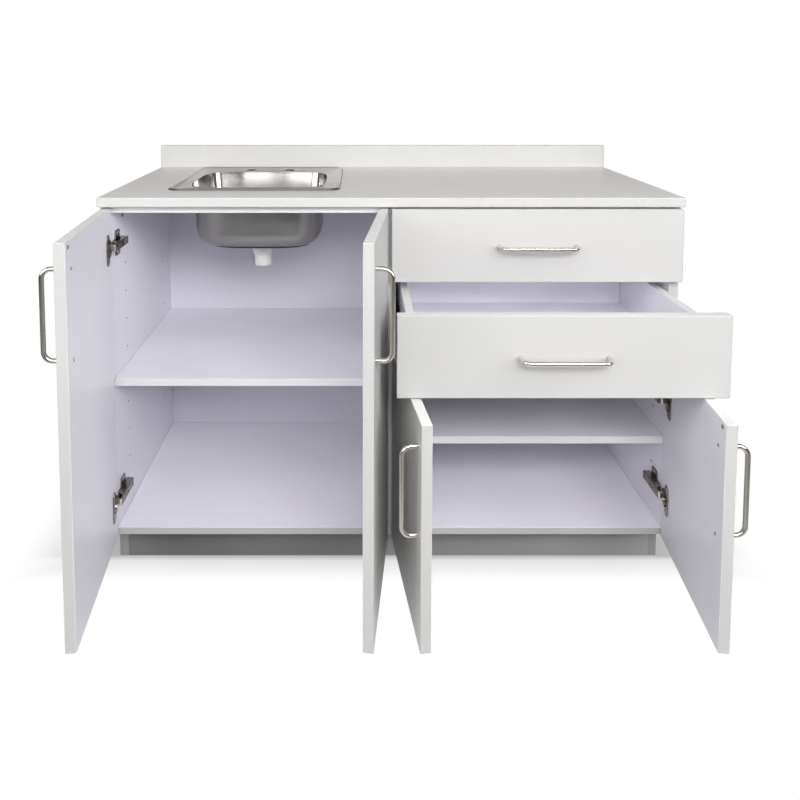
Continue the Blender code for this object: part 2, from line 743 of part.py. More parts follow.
def cup_meshes():
    centre = CUP_FROM_EDGE - PIN_FROM_EDGE
    lip = PIN_FROM_FACE + JOINT_GAP + FLANGE_THICK
    base = PIN_FROM_FACE - CUP_DEPTH
    inner = CUP_RADIUS - CUP_WALL
    turned = bmesh.new()
    count = 24
    rings = [
        (CUP_RADIUS, base),
        (CUP_RADIUS, lip + RIM_BEAD),
        (inner, lip + RIM_BEAD),
        (inner, base + CUP_FLOOR),
    ]
    made = []
    for radius, height in rings:
        made.append([turned.verts.new((centre + x, height, z)) for x, z in circle((0, 0), radius, count)])
    for r in range(1, len(made)):
        for i in range(count):
            turned.faces.new((made[r - 1][i - 1], made[r - 1][i], made[r][i], made[r][i - 1]))
    turned.faces.new(made[0])
    turned.faces.new(made[-1])
    ear = FLANGE_HALF_HEIGHT
    mouth = CUP_RADIUS - CUP_WALL / 2
    far = centre + CUP_RADIUS + FLANGE_FAR_RIM
    upper = [
        (far, ear - 6.0),
        (centre + EAR_FROM_CUP + EAR_WIDTH, ear),
        (centre + EAR_FROM_CUP, ear),
        (centre + EAR_FROM_CUP - 4.0, ear - 4.0),
    ]
    for turn in FLANGE_TURNS:
        reach = CUP_RADIUS + FLANGE_RIM
        upper.append((centre + reach * math.cos(math.radians(turn)), reach * math.sin(math.radians(turn))))
    outline = upper + [(x, -z) for x, z in reversed(upper)]
    hole = circle((centre, 0), mouth, count)
    flange = prism_mesh([outline, hole], PIN_FROM_FACE + JOINT_GAP, lip)
    bmesh.ops.transform(flange, matrix=STAND_XZ, verts=flange.verts[:])
    span = math.sqrt(inner**2 - centre**2) + 0.6
    pin = turned_cylinder(PIN_RADIUS, 2 * span, 10, "Z")
    return [turned, flange, pin]


full_face = SIDE_THICK - PIN_IN
half_face = HALF_WALL - PIN_IN
full_arm = fused_mesh("full_arm", arm_meshes(full_face))
half_arm = fused_mesh("half_arm", arm_meshes(half_face))
cup = fused_mesh("cup", cup_meshes())
full_arm_right = mirrored(full_arm, "full_arm_right")
half_arm_right = mirrored(half_arm, "half_arm_right")
cup_right = mirrored(cup, "cup_right")


# Bent wire pulls: the feet stand on the plane Y = 0 and the grip lies in front of it
def pull(name, place, upright, parent):
    reach = PULL_REACH - PULL_WIRE / 2
    half = PULL_CENTRES / 2
    path = [(-half, 0.0)]
    for i in range(5):
        angle = math.radians(180 + 22.5 * i)
        along = -half + PULL_BEND + PULL_BEND * math.cos(angle)
        path.append((along, -reach + PULL_BEND + PULL_BEND * math.sin(angle)))
    path += [(-x, y) for x, y in reversed(path)]
    curve = bpy.data.curves.new(name, "CURVE")
    curve.dimensions = "3D"
    curve.bevel_depth = PULL_WIRE / 2 * MM
    curve.bevel_resolution = 2
    curve.use_fill_caps = True
    spline = curve.splines.new("POLY")
    spline.points.add(len(path) - 1)
    for point, (along, out) in zip(spline.points, path):
        spot = (0, out, along) if upright else (along, out, 0)
        point.co = (*[v * MM for v in spot], 1.0)
    obj = bpy.data.objects.new(name, curve)
    bpy.context.scene.collection.objects.link(obj)
    obj.location = Vector(place) * MM
    obj.parent = parent
    finish(obj, "nickel")
    return obj


# Doors hang on empties that stand on the hinge pins
def door(name, hinge_x, side, top, rest, inset, arm):
    """Side is 1 for a hinge edge on the left and -1 for one on the right."""
    bottom = TOE_HEIGHT
    pin = (hinge_x + side * PIN_IN, FRONT_Y - PIN_OUT, 0)
    axis = add_empty(name + "_axis", pin, -side * rest)
    face = PIN_FROM_FACE
    xs = sorted((-side * PIN_FROM_EDGE, side * (DOOR_WIDTH - PIN_FROM_EDGE)))
    leaf = board(name, (xs[0], face - FRONT_THICK, bottom), (xs[1], face, top), "front", EDGE_BREAK, axis)
    heights = (top - inset, bottom + inset)
    bores = []
    for z in heights:
        radius = CUP_RADIUS + BORE_CLEARANCE
        bore = turned_cylinder(radius, 2 * (CUP_DEPTH + BORE_CLEARANCE), 24, "Y")
        bores.append(moved_mesh(bore, (side * (CUP_FROM_EDGE - PIN_FROM_EDGE), face, z)))
    cut(leaf, name + "_bores", bores, parent=axis)
    for label, z in zip(("upper", "lower"), heights):
        place_mesh(name + "_" + label + "_cup", cup if side > 0 else cup_right, (0, 0, z), "zinc", axis)
        place_mesh(name + "_" + label + "_arm", arm, (pin[0], pin[1], z), "zinc")
    pull_x = side * (DOOR_WIDTH - PIN_FROM_EDGE - PULL_FROM_EDGE)
    pull(name + "_pull", (pull_x, face - FRONT_THICK - JOINT_GAP, top - PULL_FROM_TOP), True, axis)


door("left_tall_door", -HALF_WIDTH, 1, FRONT_TOP, LEFT_TALL_OPEN, TALL_HINGE_INSET, full_arm)
door("right_tall_door", 0, -1, FRONT_TOP, RIGHT_TALL_OPEN, TALL_HINGE_INSET, half_arm_right)
door("left_short_door", 0, 1, SHORT_DOOR_TOP, LEFT_SHORT_OPEN, SHORT_HINGE_INSET, half_arm)
door("right_short_door", HALF_WIDTH, -1, SHORT_DOOR_TOP, RIGHT_SHORT_OPEN, SHORT_HINGE_INSET, full_arm_right)

# Drawers: a front, a box of four boards and the runners move together on an empty
box_left = HALF_WALL + SLIDE_SPACE
box_right = INNER_X - SLIDE_SPACE
box_front = FRONT_Y - FRONT_GAP + JOINT_GAP
box_rear = box_front + BOX_LENGTH


def channel_points(side):
    """Cross-section of a cabinet slide, open towards the drawer, as offsets from the panel face."""
    high = SLIDE_HEIGHT / 2
    deep_in = SLIDE_SPACE - SLIDE_FROM_BOX
    lip = high - SLIDE_LIP
    thick = SLIDE_SHEET
    points = [
        (JOINT_GAP, -high),
        (deep_in, -high),
        (deep_in, -lip),
        (deep_in - thick, -lip),
        (deep_in - thick, -high + thick),
        (JOINT_GAP + thick, -high + thick),
        (JOINT_GAP + thick, high - thick),
        (deep_in - thick, high - thick),
        (deep_in - thick, lip),
        (deep_in, lip),
        (deep_in, high),
        (JOINT_GAP, high),
    ]
    return [(side * x, z) for x, z in points]


def runner_points(side):
    """Cross-section of the drawer runner that slides in the channel."""
    high = SLIDE_HEIGHT / 2 - SLIDE_SHEET - RUNNER_CLEARANCE
    throat = SLIDE_HEIGHT / 2 - SLIDE_LIP - RUNNER_CLEARANCE
    near = JOINT_GAP + SLIDE_SHEET + RUNNER_CLEARANCE
    far = SLIDE_SPACE - SLIDE_FROM_BOX - SLIDE_SHEET - RUNNER_CLEARANCE
    out = SLIDE_SPACE - JOINT_GAP
    points = [
        (near, -high),
        (far, -high),
        (far, -throat),
        (out, -throat),
        (out, throat),
        (far, throat),
        (far, high),
        (near, high),
    ]
    return [(side * x, z) for x, z in points]


def extruded_section(points, low_y, high_y):
    bm = prism_mesh([points], low_y, high_y)
    bmesh.ops.transform(bm, matrix=STAND_XZ, verts=bm.verts[:])
    return bm


def drawer(name, bottom, out):
    travel = add_empty(name + "_travel", (0, -out, 0))
    top = bottom + DRAWER_FRONT_HEIGHT
    board(
        name + "_front",
        (FRONT_REVEAL, FRONT_FACE_Y, bottom),
        (HALF_WIDTH - FRONT_REVEAL, FRONT_FACE_Y + FRONT_THICK, top),
        "front",
        EDGE_BREAK,
        travel,
    )
    low = bottom + BOX_LIFT
    high = low + BOX_HEIGHT
    panel_low = low + BOX_BOTTOM_LIFT
    panel_high = panel_low + BOX_BOTTOM_THICK
    inner_left = box_left + BOARD_THICK
    inner_right = box_right - BOARD_THICK
    groove = box_mesh(
        (inner_left - GROOVE_DEPTH, box_front - CUT_OVER, panel_low - JOINT_GAP),
        (inner_right + GROOVE_DEPTH, box_rear - BOARD_THICK - JOINT_GAP, panel_high + JOINT_GAP),
    )
    left = board(
        name + "_left_side",
        (box_left, box_front, low),
        (inner_left, box_rear, high),
        "inside",
        EDGE_BREAK,
        travel,
    )
    right = board(
        name + "_right_side",
        (inner_right, box_front, low),
        (box_right, box_rear, high),
        "inside",
        EDGE_BREAK,
        travel,
    )
    groove_cutter = cut(left, name + "_groove", [groove], parent=travel)
    join_boolean(right, groove_cutter, "DIFFERENCE")
    board(
        name + "_back",
        (inner_left + JOINT_GAP, box_rear - BOARD_THICK, low),
        (inner_right - JOINT_GAP, box_rear, high),
        "inside",
        EDGE_BREAK,
        travel,
    )
    board(
        name + "_bottom",
        (inner_left - GROOVE_DEPTH + JOINT_GAP, box_front, panel_low),
        (inner_right + GROOVE_DEPTH - JOINT_GAP, box_rear - BOARD_THICK - 2 * JOINT_GAP, panel_high),
        "inside",
        0.0,
        travel,
    )
    pull(name + "_pull", (HALF_WIDTH / 2, FRONT_FACE_Y - JOINT_GAP, (bottom + top) / 2), False, travel)
    slide_z = low + SLIDE_LIFT
    ends = (FRONT_Y + SLIDE_SETBACK, FRONT_Y + SLIDE_SETBACK + SLIDE_LENGTH)
    for label, face, side in (("left", HALF_WALL, 1), ("right", INNER_X, -1)):
        start = name + "_" + label
        place = (face, 0, slide_z)
        channel = add_object(start + "_channel", extruded_section(channel_points(side), *ends), place)
        finish(channel, "zinc")
        runner = add_object(start + "_runner", extruded_section(runner_points(side), *ends), place, travel)
        finish(runner, "zinc")


drawer("upper_drawer", UPPER_FRONT_BOTTOM, 0.0)
drawer("lower_drawer", LOWER_FRONT_BOTTOM, LOWER_DRAWER_OUT)
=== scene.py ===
from math import asin, cos, degrees, radians, sin

import bmesh
import bpy
from mathutils import Matrix, Vector


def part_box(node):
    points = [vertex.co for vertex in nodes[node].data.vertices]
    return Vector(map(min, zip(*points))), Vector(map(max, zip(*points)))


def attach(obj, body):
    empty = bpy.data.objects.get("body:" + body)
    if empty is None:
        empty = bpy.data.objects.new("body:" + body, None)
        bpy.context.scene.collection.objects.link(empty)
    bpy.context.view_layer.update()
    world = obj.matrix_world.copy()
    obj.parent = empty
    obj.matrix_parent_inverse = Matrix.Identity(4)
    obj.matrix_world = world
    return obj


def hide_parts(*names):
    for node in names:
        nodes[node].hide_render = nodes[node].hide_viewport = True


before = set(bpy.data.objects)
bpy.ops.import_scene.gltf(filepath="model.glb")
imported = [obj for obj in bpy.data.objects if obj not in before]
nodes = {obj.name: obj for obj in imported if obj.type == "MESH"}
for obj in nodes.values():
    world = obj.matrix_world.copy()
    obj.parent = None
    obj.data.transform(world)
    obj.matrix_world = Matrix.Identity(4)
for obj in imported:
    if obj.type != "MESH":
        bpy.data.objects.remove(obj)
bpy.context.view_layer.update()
scene = bpy.context.scene
scene.view_settings.view_transform = "Standard"
mm = 0.001
right, left, back, front, up = (1, 0, 0), (-1, 0, 0), (0, 1, 0), (0, -1, 0), (0, 0, 1)
print("frame loaded:", len(nodes), "nodes")

# places on the cabinet, in millimetres
frontY = -220.0
halfWidth = 609.6
sideX, wallX = 590.55, 9.525  # inner face of a side panel, face of the centre wall
topZ, bottomZ = 838.2, 96.0
# doors; face is the panel's face, measured from the pin into the opening
sideFace, wallFace = 7.05, -2.475
tall = {"top": 813.8, "inset": 83.0}
short = {"top": 502.8, "inset": 99.0}
doors = {
    "left_tall_door": {"pinX": -597.6, "side": 1, "rest": 83.8, "face": sideFace, **tall},
    "right_tall_door": {"pinX": -12.0, "side": -1, "rest": 82.7, "face": wallFace, **tall},
    "left_short_door": {"pinX": 12.0, "side": 1, "rest": 83.4, "face": wallFace, **short},
    "right_short_door": {"pinX": 597.6, "side": -1, "rest": 83.4, "face": sideFace, **short},
}
pinY = -236.0
pinFromFace = 12.0
pinFromEdge = 10.0
doorThick = 19.05
doorWidth = 300.8
drawers = {
    "upper_drawer": {"bottom": 660.8, "out": 0.0},
    "lower_drawer": {"bottom": 505.3, "out": 191.0},
}
drawerFrontHigh = 153.0
drawerGap = 4.0
drawerInnerY = frontY - drawerGap


# shader helpers; a ramp is given as from low, from high, to low, to high
def place(tree, kind, inputs=None, **settings):
    made = tree.nodes.new("ShaderNode" + kind)
    made.location = (190 * len(tree.nodes), 0)
    for key, value in settings.items():
        setattr(made, key, value)
    for key, value in (inputs or {}).items():
        if isinstance(value, bpy.types.NodeSocket):
            tree.links.new(value, made.inputs[key])
        else:
            made.inputs[key].default_value = value
    return made


def useGroup(tree, group, inputs):
    return place(tree, "Group", inputs, node_tree=group).outputs


def calc(tree, operation, first, *others):
    # several values are taken one after the other
    if not others:
        return place(tree, "Math", {0: first}, operation=operation).outputs[0]
    for other in others:
        first = place(tree, "Math", {0: first, 1: other}, operation=operation).outputs[0]
    return first


def vectorCalc(tree, operation, first, second, output="Vector"):
    return place(tree, "VectorMath", {0: first, 1: second}, operation=operation).outputs[output]


def axesOf(tree, vector):
    return place(tree, "SeparateXYZ", {0: vector}).outputs


def mixColour(tree, factor, first, second, blend="MIX"):
    inputs = {0: factor, 6: first, 7: second}
    return place(tree, "Mix", inputs, data_type="RGBA", blend_type=blend).outputs[2]


def shadeBy(tree, colour, shade):
    tone = place(tree, "CombineColor", {0: shade, 1: shade, 2: shade}).outputs[0]
    return mixColour(tree, 1.0, colour, tone, "MULTIPLY")


def ramp(tree, value, low, high, toLow=0.0, toHigh=1.0):
    inputs = {"Value": value, "From Min": low, "From Max": high, "To Min": toLow, "To Max": toHigh}
    return place(tree, "MapRange", inputs).outputs[0]


def noise(tree, vector, scale, detail):
    inputs = {"Vector": vector, "Scale": scale, "Detail": detail}
    return place(tree, "TexNoise", inputs).outputs["Fac"]


surfaceOutputs = {"Color": "Color", "Roughness": "Float", "Height": "Float"}


def startGroup(name, inputs, outputs):
    group = bpy.data.node_groups.new(name, "ShaderNodeTree")
    for way, sockets in (("INPUT", inputs), ("OUTPUT", outputs)):
        for label, kind in sockets.items():
            group.interface.new_socket(name=label, in_out=way, socket_type="NodeSocket" + kind)
    start = group.nodes.new("NodeGroupInput")
    return group, start.outputs


def endGroup(group, **outputs):
    end = group.nodes.new("NodeGroupOutput")
    for label, value in outputs.items():
        group.links.new(value, end.inputs[label])
    return group


def startMaterial(name, metallic=0.0):
    material = bpy.data.materials.new(name)
    material.use_nodes = True
    tree = material.node_tree
    shader = tree.nodes["Principled BSDF"]
    shader.inputs["Metallic"].default_value = metallic
    return material, tree, shader


def joinSurface(tree, shader, colour, out, strength, distance):
    tree.links.new(colour, shader.inputs["Base Color"])
    tree.links.new(out["Roughness"], shader.inputs["Roughness"])
    inputs = {"Height": out["Height"], "Strength": strength, "Distance": distance}
    tree.links.new(place(tree, "Bump", inputs).outputs["Normal"], shader.inputs["Normal"])


# which way a face of a board looks, in the board's own space
facingLimits = (0.55, 0.8)


def makeFacing():
    masks = {"Mask": "Float", "Both": "Float"}
    group, start = startGroup("facing", {"Direction": "Vector"}, masks)
    normal = place(group, "TexCoord").outputs["Normal"]
    dot = vectorCalc(group, "DOT_PRODUCT", normal, start["Direction"], "Value")
    either = ramp(group, calc(group, "ABSOLUTE", dot), *facingLimits)
    return endGroup(group, Mask=ramp(group, dot, *facingLimits), Both=either)


# pressed laminate: pearl texture, slow clouds, and the thin seam of the edge band
# noise is given as scale and detail, the band in metres
laminateDetail = {
    "band": 0.0012, "line": (0.0001, 0.00045, 1.0, 0.0), "lineShade": (0.0, 1.0, 1.0, 0.84),
    "lineDepth": 0.8, "cloud": (4.2, 3.0), "cloudShade": (0.3, 0.7, 0.975, 1.015),
    "pearl": (1300.0, 2.0), "pearlShade": (0.3, 0.7, 0.988, 1.008),
    "pearlGloss": (0.3, 0.7, -0.02, 0.02), "scuff": (46.0, 4.0),
    "scuffGloss": (0.35, 0.7, -0.01, 0.02),
}


def makeMelamine(values=laminateDetail):
    sockets = {"Vector": "Vector", "Low": "Vector", "High": "Vector", "Inner": "Color"}
    sockets.update({"Outer": "Color", "Inner Mask": "Float", "Seam": "Float", "Gloss": "Float"})
    group, start = startGroup("melamine", sockets, surfaceOutputs)
    spot = start["Vector"]
    fromLow = vectorCalc(group, "SUBTRACT", spot, start["Low"])
    fromHigh = vectorCalc(group, "SUBTRACT", start["High"], spot)
    x, y, z = axesOf(group, vectorCalc(group, "MINIMUM", fromLow, fromHigh))
    # on a face, the middle one of the three distances is the way to its nearest edge
    less = calc(group, "MINIMUM", x, y)
    more = calc(group, "MAXIMUM", x, y)
    fromEdge = calc(group, "MAXIMUM", less, calc(group, "MINIMUM", more, z))
    fromBand = calc(group, "ABSOLUTE", calc(group, "SUBTRACT", fromEdge, values["band"]))
    seam = calc(group, "MULTIPLY", ramp(group, fromBand, *values["line"]), start["Seam"])
    cloud = noise(group, spot, *values["cloud"])
    pearl = noise(group, spot, *values["pearl"])
    scuff = noise(group, spot, *values["scuff"])
    base = mixColour(group, start["Inner Mask"], start["Outer"], start["Inner"])
    parts = ((cloud, "cloudShade"), (pearl, "pearlShade"), (seam, "lineShade"))
    shade = calc(group, "MULTIPLY", *[ramp(group, part, *values[key]) for part, key in parts])
    parts = ((scuff, "scuffGloss"), (pearl, "pearlGloss"))
    ramps = [ramp(group, part, *values[key]) for part, key in parts]
    rough = calc(group, "ADD", start["Gloss"], *ramps)
    high = calc(group, "SUBTRACT", pearl, calc(group, "MULTIPLY", seam, values["lineDepth"]))
    return endGroup(group, Color=shadeBy(group, base, shade), Roughness=rough, Height=high)


# drawn or brushed metal: streaks along one way, light blotches
grainDetail = {
    "streak": (1.0, 5.0), "streakMiddle": 0.5, "streakGloss": 0.5, "blotch": (30.0, 3.0),
    "blotchShade": (0.3, 0.7, -0.03, 0.03), "blotchGloss": (0.3, 0.75, -0.02, 0.04),
}


def makeMetalGrain(values=grainDetail):
    sockets = {"Vector": "Vector", "Stretch": "Vector", "Tint": "Color"}
    sockets.update({"Gloss": "Float", "Depth": "Float"})
    group, start = startGroup("metalGrain", sockets, surfaceOutputs)
    drawn = vectorCalc(group, "MULTIPLY", start["Vector"], start["Stretch"])
    streak = noise(group, drawn, *values["streak"])
    blotch = noise(group, start["Vector"], *values["blotch"])
    spread = calc(group, "SUBTRACT", streak, values["streakMiddle"])
    spread = calc(group, "MULTIPLY", spread, start["Depth"])
    shade = calc(group, "ADD", 1.0, spread, ramp(group, blotch, *values["blotchShade"]))
    colour = shadeBy(group, start["Tint"], shade)
    dull = ramp(group, blotch, *values["blotchGloss"])
    rough = calc(group, "MULTIPLY", spread, values["streakGloss"])
    rough = calc(group, "ADD", start["Gloss"], rough, dull)
    return endGroup(group, Color=colour, Roughness=rough, Height=streak)


# moulded plastic and rubber
mouldDetail = {
    "fine": (900.0, 2.0), "flow": (45.0, 2.0), "flowShade": (0.3, 0.7, 0.95, 1.03),
    "flowGloss": (0.3, 0.7, -0.05, 0.07),
}


def makeMoulded(values=mouldDetail):
    sockets = {"Vector": "Vector", "Tint": "Color", "Gloss": "Float"}
    group, start = startGroup("moulded", sockets, surfaceOutputs)
    fine = noise(group, start["Vector"], *values["fine"])
    flow = noise(group, start["Vector"], *values["flow"])
    colour = shadeBy(group, start["Tint"], ramp(group, flow, *values["flowShade"]))
    rough = calc(group, "ADD", start["Gloss"], ramp(group, flow, *values["flowGloss"]))
    return endGroup(group, Color=colour, Roughness=rough, Height=fine)


facing = makeFacing()
melamine = makeMelamine()
metalGrain = makeMetalGrain()
moulded = makeMoulded()
print("shader groups made")

# laminates: the cool white of the inner faces, the plain one of outer faces and edge bands, gloss
laminates = {
    "inside": ((0.885, 0.869, 0.935), (0.53, 0.525, 0.517), 0.42),
    # painted light: the shelves' front edges are given a lighter tone than the other carcass edges
    "shelf": ((0.885, 0.869, 0.935), (0.77, 0.767, 0.77), 0.42),
    "door": ((0.915, 0.898, 0.957), (0.56, 0.555, 0.546), 0.38),
    "drawer": ((0.91, 0.893, 0.96), (0.545, 0.54, 0.532), 0.38),
    # painted light: the rail's front is given a light tone to stand in for the light it lacks under the
    # worktop's overhang
    "rail": ((0.86, 0.845, 0.912), (0.88, 0.876, 0.868), 0.42),
    "worktop": ((0.71, 0.683, 0.66), (0.56, 0.558, 0.553), 0.34),
    "splash": ((0.53, 0.525, 0.514), (0.80, 0.796, 0.788), 0.34),
    # painted shade: the toe board is given a dark tone for the shade it stands in under the cabinet
    "toe": ((0.30, 0.296, 0.29), (0.30, 0.296, 0.29), 0.5),
    # painted shade: the back panel's inner face is given a darker tone than the other inner faces, for
    # the shade at the back of the cabinet
    "rear": ((0.71, 0.696, 0.77), (0.62, 0.61, 0.59), 0.55),
}
# painted light: a whiter tone for the upward-facing edge bands of doors and drawers, as if lit from
# above
paintedTopLight = {"door": (0.74, 0.735, 0.72), "drawer": (0.70, 0.695, 0.68)}
boardBump = (0.06, 0.0004)
uprights = ("left_side_panel", "right_side_panel", "centre_partition")
sinkX = -299.5

# tones that change across a board, with the places in metres
# painted shade on the notched foot of an upright, up to this height
footHeight = (0.0955, 0.0965, 1.0, 0.0)
# painted shade across the toe board, darker toward the left
toePaintedShade = (-0.5, 0.4, 0.62, 1.25)
cutout = {
    "sides": (0.186, 0.188, 1.0, 0.0),
    "front": (-0.146, -0.144),
    "back": (0.206, 0.208, 1.0, 0.0),
    # the raw board colour is darker than chipboard: painted shade in the cutout
    "raw": (0.05, 0.038, 0.03, 1.0),
}


def boardMaterial(name, look, direction, both=False, seam=1.0, turn=None):
    inner, outer, gloss = laminates[look]
    material, tree, shader = startMaterial(name + "_laminate")
    spot = place(tree, "TexCoord").outputs["Object"]
    low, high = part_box(name)
    if turn:  # a door stands open, so its own box is found by turning it shut
        matrix, (low, high) = turn
        inputs = {"Location": matrix.to_translation(), "Rotation": matrix.to_euler(), "Vector": spot}
        spot = place(tree, "Mapping", inputs).outputs[0]
    side = useGroup(tree, facing, {"Direction": direction})
    inputs = {"Vector": spot, "Low": low, "High": high, "Gloss": gloss}
    inputs.update({"Inner": (*inner, 1.0), "Outer": (*outer, 1.0)})
    inputs["Inner Mask"] = side["Both" if both else "Mask"]
    inputs["Seam"] = calc(tree, "MULTIPLY", side["Both"], seam)
    out = useGroup(tree, melamine, inputs)
    colour = out["Color"]
    if name in uprights:  # painted shade: the notched foot of an upright takes the dark tone of the toe board
        ahead = useGroup(tree, facing, {"Direction": front})["Mask"]
        height = axesOf(tree, spot)[2]
        foot = calc(tree, "MULTIPLY", ahead, ramp(tree, height, *footHeight))
        colour = mixColour(tree, foot, colour, (*laminates["toe"][1], 1.0))
    if look in paintedTopLight:  # painted light: the upward-facing edge band is made whiter, as if lit from above
        upward = useGroup(tree, facing, {"Direction": up})["Mask"]
        colour = mixColour(tree, upward, colour, (*paintedTopLight[look], 1.0))
    if name == "toe_kick":  # painted shade: darker toward the left, where the taller doors shade the toe board more, lighter toward the right
        colour = shadeBy(tree, colour, ramp(tree, axesOf(tree, spot)[0], *toePaintedShade))
    if name == "worktop":  # raw board in the sink cutout, given a tone darker than chipboard as painted shade
        x, y, _ = axesOf(tree, spot)
        across = calc(tree, "ABSOLUTE", calc(tree, "SUBTRACT", x, sinkX * mm))
        parts = ((across, "sides"), (y, "front"), (y, "back"))
        inside = [ramp(tree, part, *cutout[key]) for part, key in parts]
        raw = calc(tree, "MULTIPLY", calc(tree, "SUBTRACT", 1.0, side["Mask"]), *inside)
        colour = mixColour(tree, raw, colour, cutout["raw"])
    joinSurface(tree, shader, colour, out, *boardBump)
    return material


def dress(name, material):
    nodes[name].data.materials.clear()
    nodes[name].data.materials.append(material)


# each board's look, the way its inner face looks, and whether the other face is the same
boards = {
    "left_side_panel": ("inside", right, False),
    "right_side_panel": ("inside", left, False),
    "centre_partition": ("inside", right, True),
    "left_bottom_panel": ("inside", up, True),
    "right_bottom_panel": ("inside", up, True),
    "toe_kick": ("toe", back, True),
    "back_panel": ("rear", front, False),
    "front_rail": ("rail", up, True),
    "left_shelf": ("shelf", up, True),
    "right_shelf": ("shelf", up, True),
    "worktop": ("worktop", up, False),
    "backsplash": ("splash", front, False),
}
for name in drawers:
    boards[name + "_front"] = ("drawer", back, False)
    boards[name + "_left_side"] = ("drawer", right, True)
    boards[name + "_right_side"] = ("drawer", left, True)
    boards[name + "_back"] = ("drawer", front, True)
    boards[name + "_bottom"] = ("inside", up, True)
plainEdges = ("worktop", "backsplash", "toe_kick", "back_panel")
for name, (look, direction, both) in boards.items():
    dress(name, boardMaterial(name, look, direction, both, 0.0 if name in plainEdges else 1.0))

for name, values in doors.items():
    side, angle = values["side"], radians(values["rest"])
    shut = Matrix.Rotation(side * angle, 4, "Z")
    shut = shut @ Matrix.Translation(Vector((-values["pinX"], -pinY, 0)) * mm)
    ends = sorted((-side * pinFromEdge, side * (doorWidth - pinFromEdge)))
    low = Vector((ends[0], pinFromFace - doorThick, bottomZ)) * mm
    high = Vector((ends[1], pinFromFace, values["top"])) * mm
    inner = (side * sin(angle), cos(angle), 0)
    dress(name, boardMaterial(name, "door", inner, False, 1.0, (shut, (low, high))))
print("boards dressed")

# metals: tint, stretch of the grain, gloss, depth of the grain, bump
metals = {
    "steel": ((0.56, 0.548, 0.535), (30, 260, 1500), 0.15, 0.22, 0.012),
    # painted shade: a darker copy of the steel for the bowl's outer walls and underside
    "steelShadedUnder": ((0.30, 0.294, 0.29), (30, 260, 1500), 0.31, 0.16, 0.012),
    "nickel": ((0.72, 0.68, 0.62), (700, 700, 700), 0.17, 0.08, 0.02),
    "plated": ((0.27, 0.25, 0.225), (420, 420, 420), 0.22, 0.9, 0.1),
    "link": ((0.80, 0.755, 0.69), (300, 300, 300), 0.3, 0.3, 0.05),
    "zinc": ((0.62, 0.61, 0.60), (500, 30, 500), 0.32, 0.15, 0.05),
    "slide": ((0.10, 0.10, 0.105), (500, 30, 500), 0.36, 0.15, 0.05),
    "screw": ((0.62, 0.60, 0.57), (900, 900, 900), 0.2, 0.15, 0.04),
}
# brushed metals: tint of the deck, darker than the bowl as painted shade, strength of the brushing
brushed = {"steel": ((0.40, 0.386, 0.376), 0.8), "steelShadedUnder": ((0.30, 0.294, 0.29), 0.7)}
# plastics: tint, gloss
plastics = {
    "drainWhite": ((0.80, 0.79, 0.75), 0.36),
    "bumperBrown": ((0.23, 0.18, 0.14), 0.4),
    "chipboard": ((0.10, 0.08, 0.065), 0.8),
    "sealGrey": ((0.10, 0.096, 0.092), 0.55),
    # painted shade: black for the pad that stands in for the shade under the bowl
    "shadePadBlack": ((0.035, 0.034, 0.036), 0.6),
}
plasticBump = 0.05
bumpReach = 0.0003
deckStart = (topZ - 4.0) * mm
quarterTurn = 0.25


def metalMaterial(name):
    tint, stretch, gloss, depth, bump = metals[name]
    material, tree, shader = startMaterial(name, 1.0)
    spot = place(tree, "TexCoord").outputs["Object"]
    tint = (*tint, 1.0)
    if name in brushed:
        # brushed level round the bowl, so reflections run up and down it; the deck on top is given a
        # darker tint, painted shade
        deckShadeTint, strength = brushed[name]
        deck = ramp(tree, axesOf(tree, spot)[2], deckStart, topZ * mm)
        tint = mixColour(tree, deck, tint, (*deckShadeTint, 1.0))
        shader.inputs["Anisotropic"].default_value = strength
        shader.inputs["Anisotropic Rotation"].default_value = quarterTurn
        around = place(tree, "Tangent", direction_type="RADIAL", axis="Z")
        tree.links.new(around.outputs[0], shader.inputs["Tangent"])
    inputs = {"Vector": spot, "Tint": tint, "Stretch": stretch, "Gloss": gloss, "Depth": depth}
    out = useGroup(tree, metalGrain, inputs)
    joinSurface(tree, shader, out["Color"], out, bump, bumpReach)
    return material


def plasticMaterial(name):
    tint, gloss = plastics[name]
    material, tree, shader = startMaterial(name)
    spot = place(tree, "TexCoord").outputs["Object"]
    out = useGroup(tree, moulded, {"Vector": spot, "Tint": (*tint, 1.0), "Gloss": gloss})
    joinSurface(tree, shader, out["Color"], out, plasticBump, bumpReach)
    return material


finishes = {name: metalMaterial(name) for name in metals}
finishes.update({name: plasticMaterial(name) for name in plastics})
for name in doors:
    for part in ("upper_cup", "lower_cup", "upper_arm", "lower_arm"):
        dress(name + "_" + part, finishes["plated"])
for name in drawers:
    for part in ("left_channel", "right_channel", "left_runner", "right_runner"):
        dress(name + "_" + part, finishes["slide"])
print("metals and plastics made")


# mesh helpers, all in millimetres
shift = Matrix.Translation


def arc(start, end, steps):
    turns = [radians(start + (end - start) * i / steps) for i in range(steps + 1)]
    return [(cos(t), sin(t)) for t in turns]


def ringPoints(radius, count):
    return [(radius * c, radius * s) for c, s in arc(0, 360, count)[:-1]]


def joinRings(rings, closed=True):
    bm = bmesh.new()
    made = [[bm.verts.new(p) for p in ring] for ring in rings]
    for r in range(0 if closed else 1, len(made)):
        for i in range(len(made[r])):
            bm.faces.new((made[r - 1][i - 1], made[r - 1][i], made[r][i], made[r][i - 1]))
    if not closed:
        bm.faces.new(made[0])
        bm.faces.new(made[-1])
    return bm


def lathe(profile, count, closed=False):
    rings = [[(x, y, height) for x, y in ringPoints(radius, count)] for radius, height in profile]
    return joinRings(rings, closed)


def rod(radius, low, high, count):
    return lathe([(radius, low), (radius, high)], count)


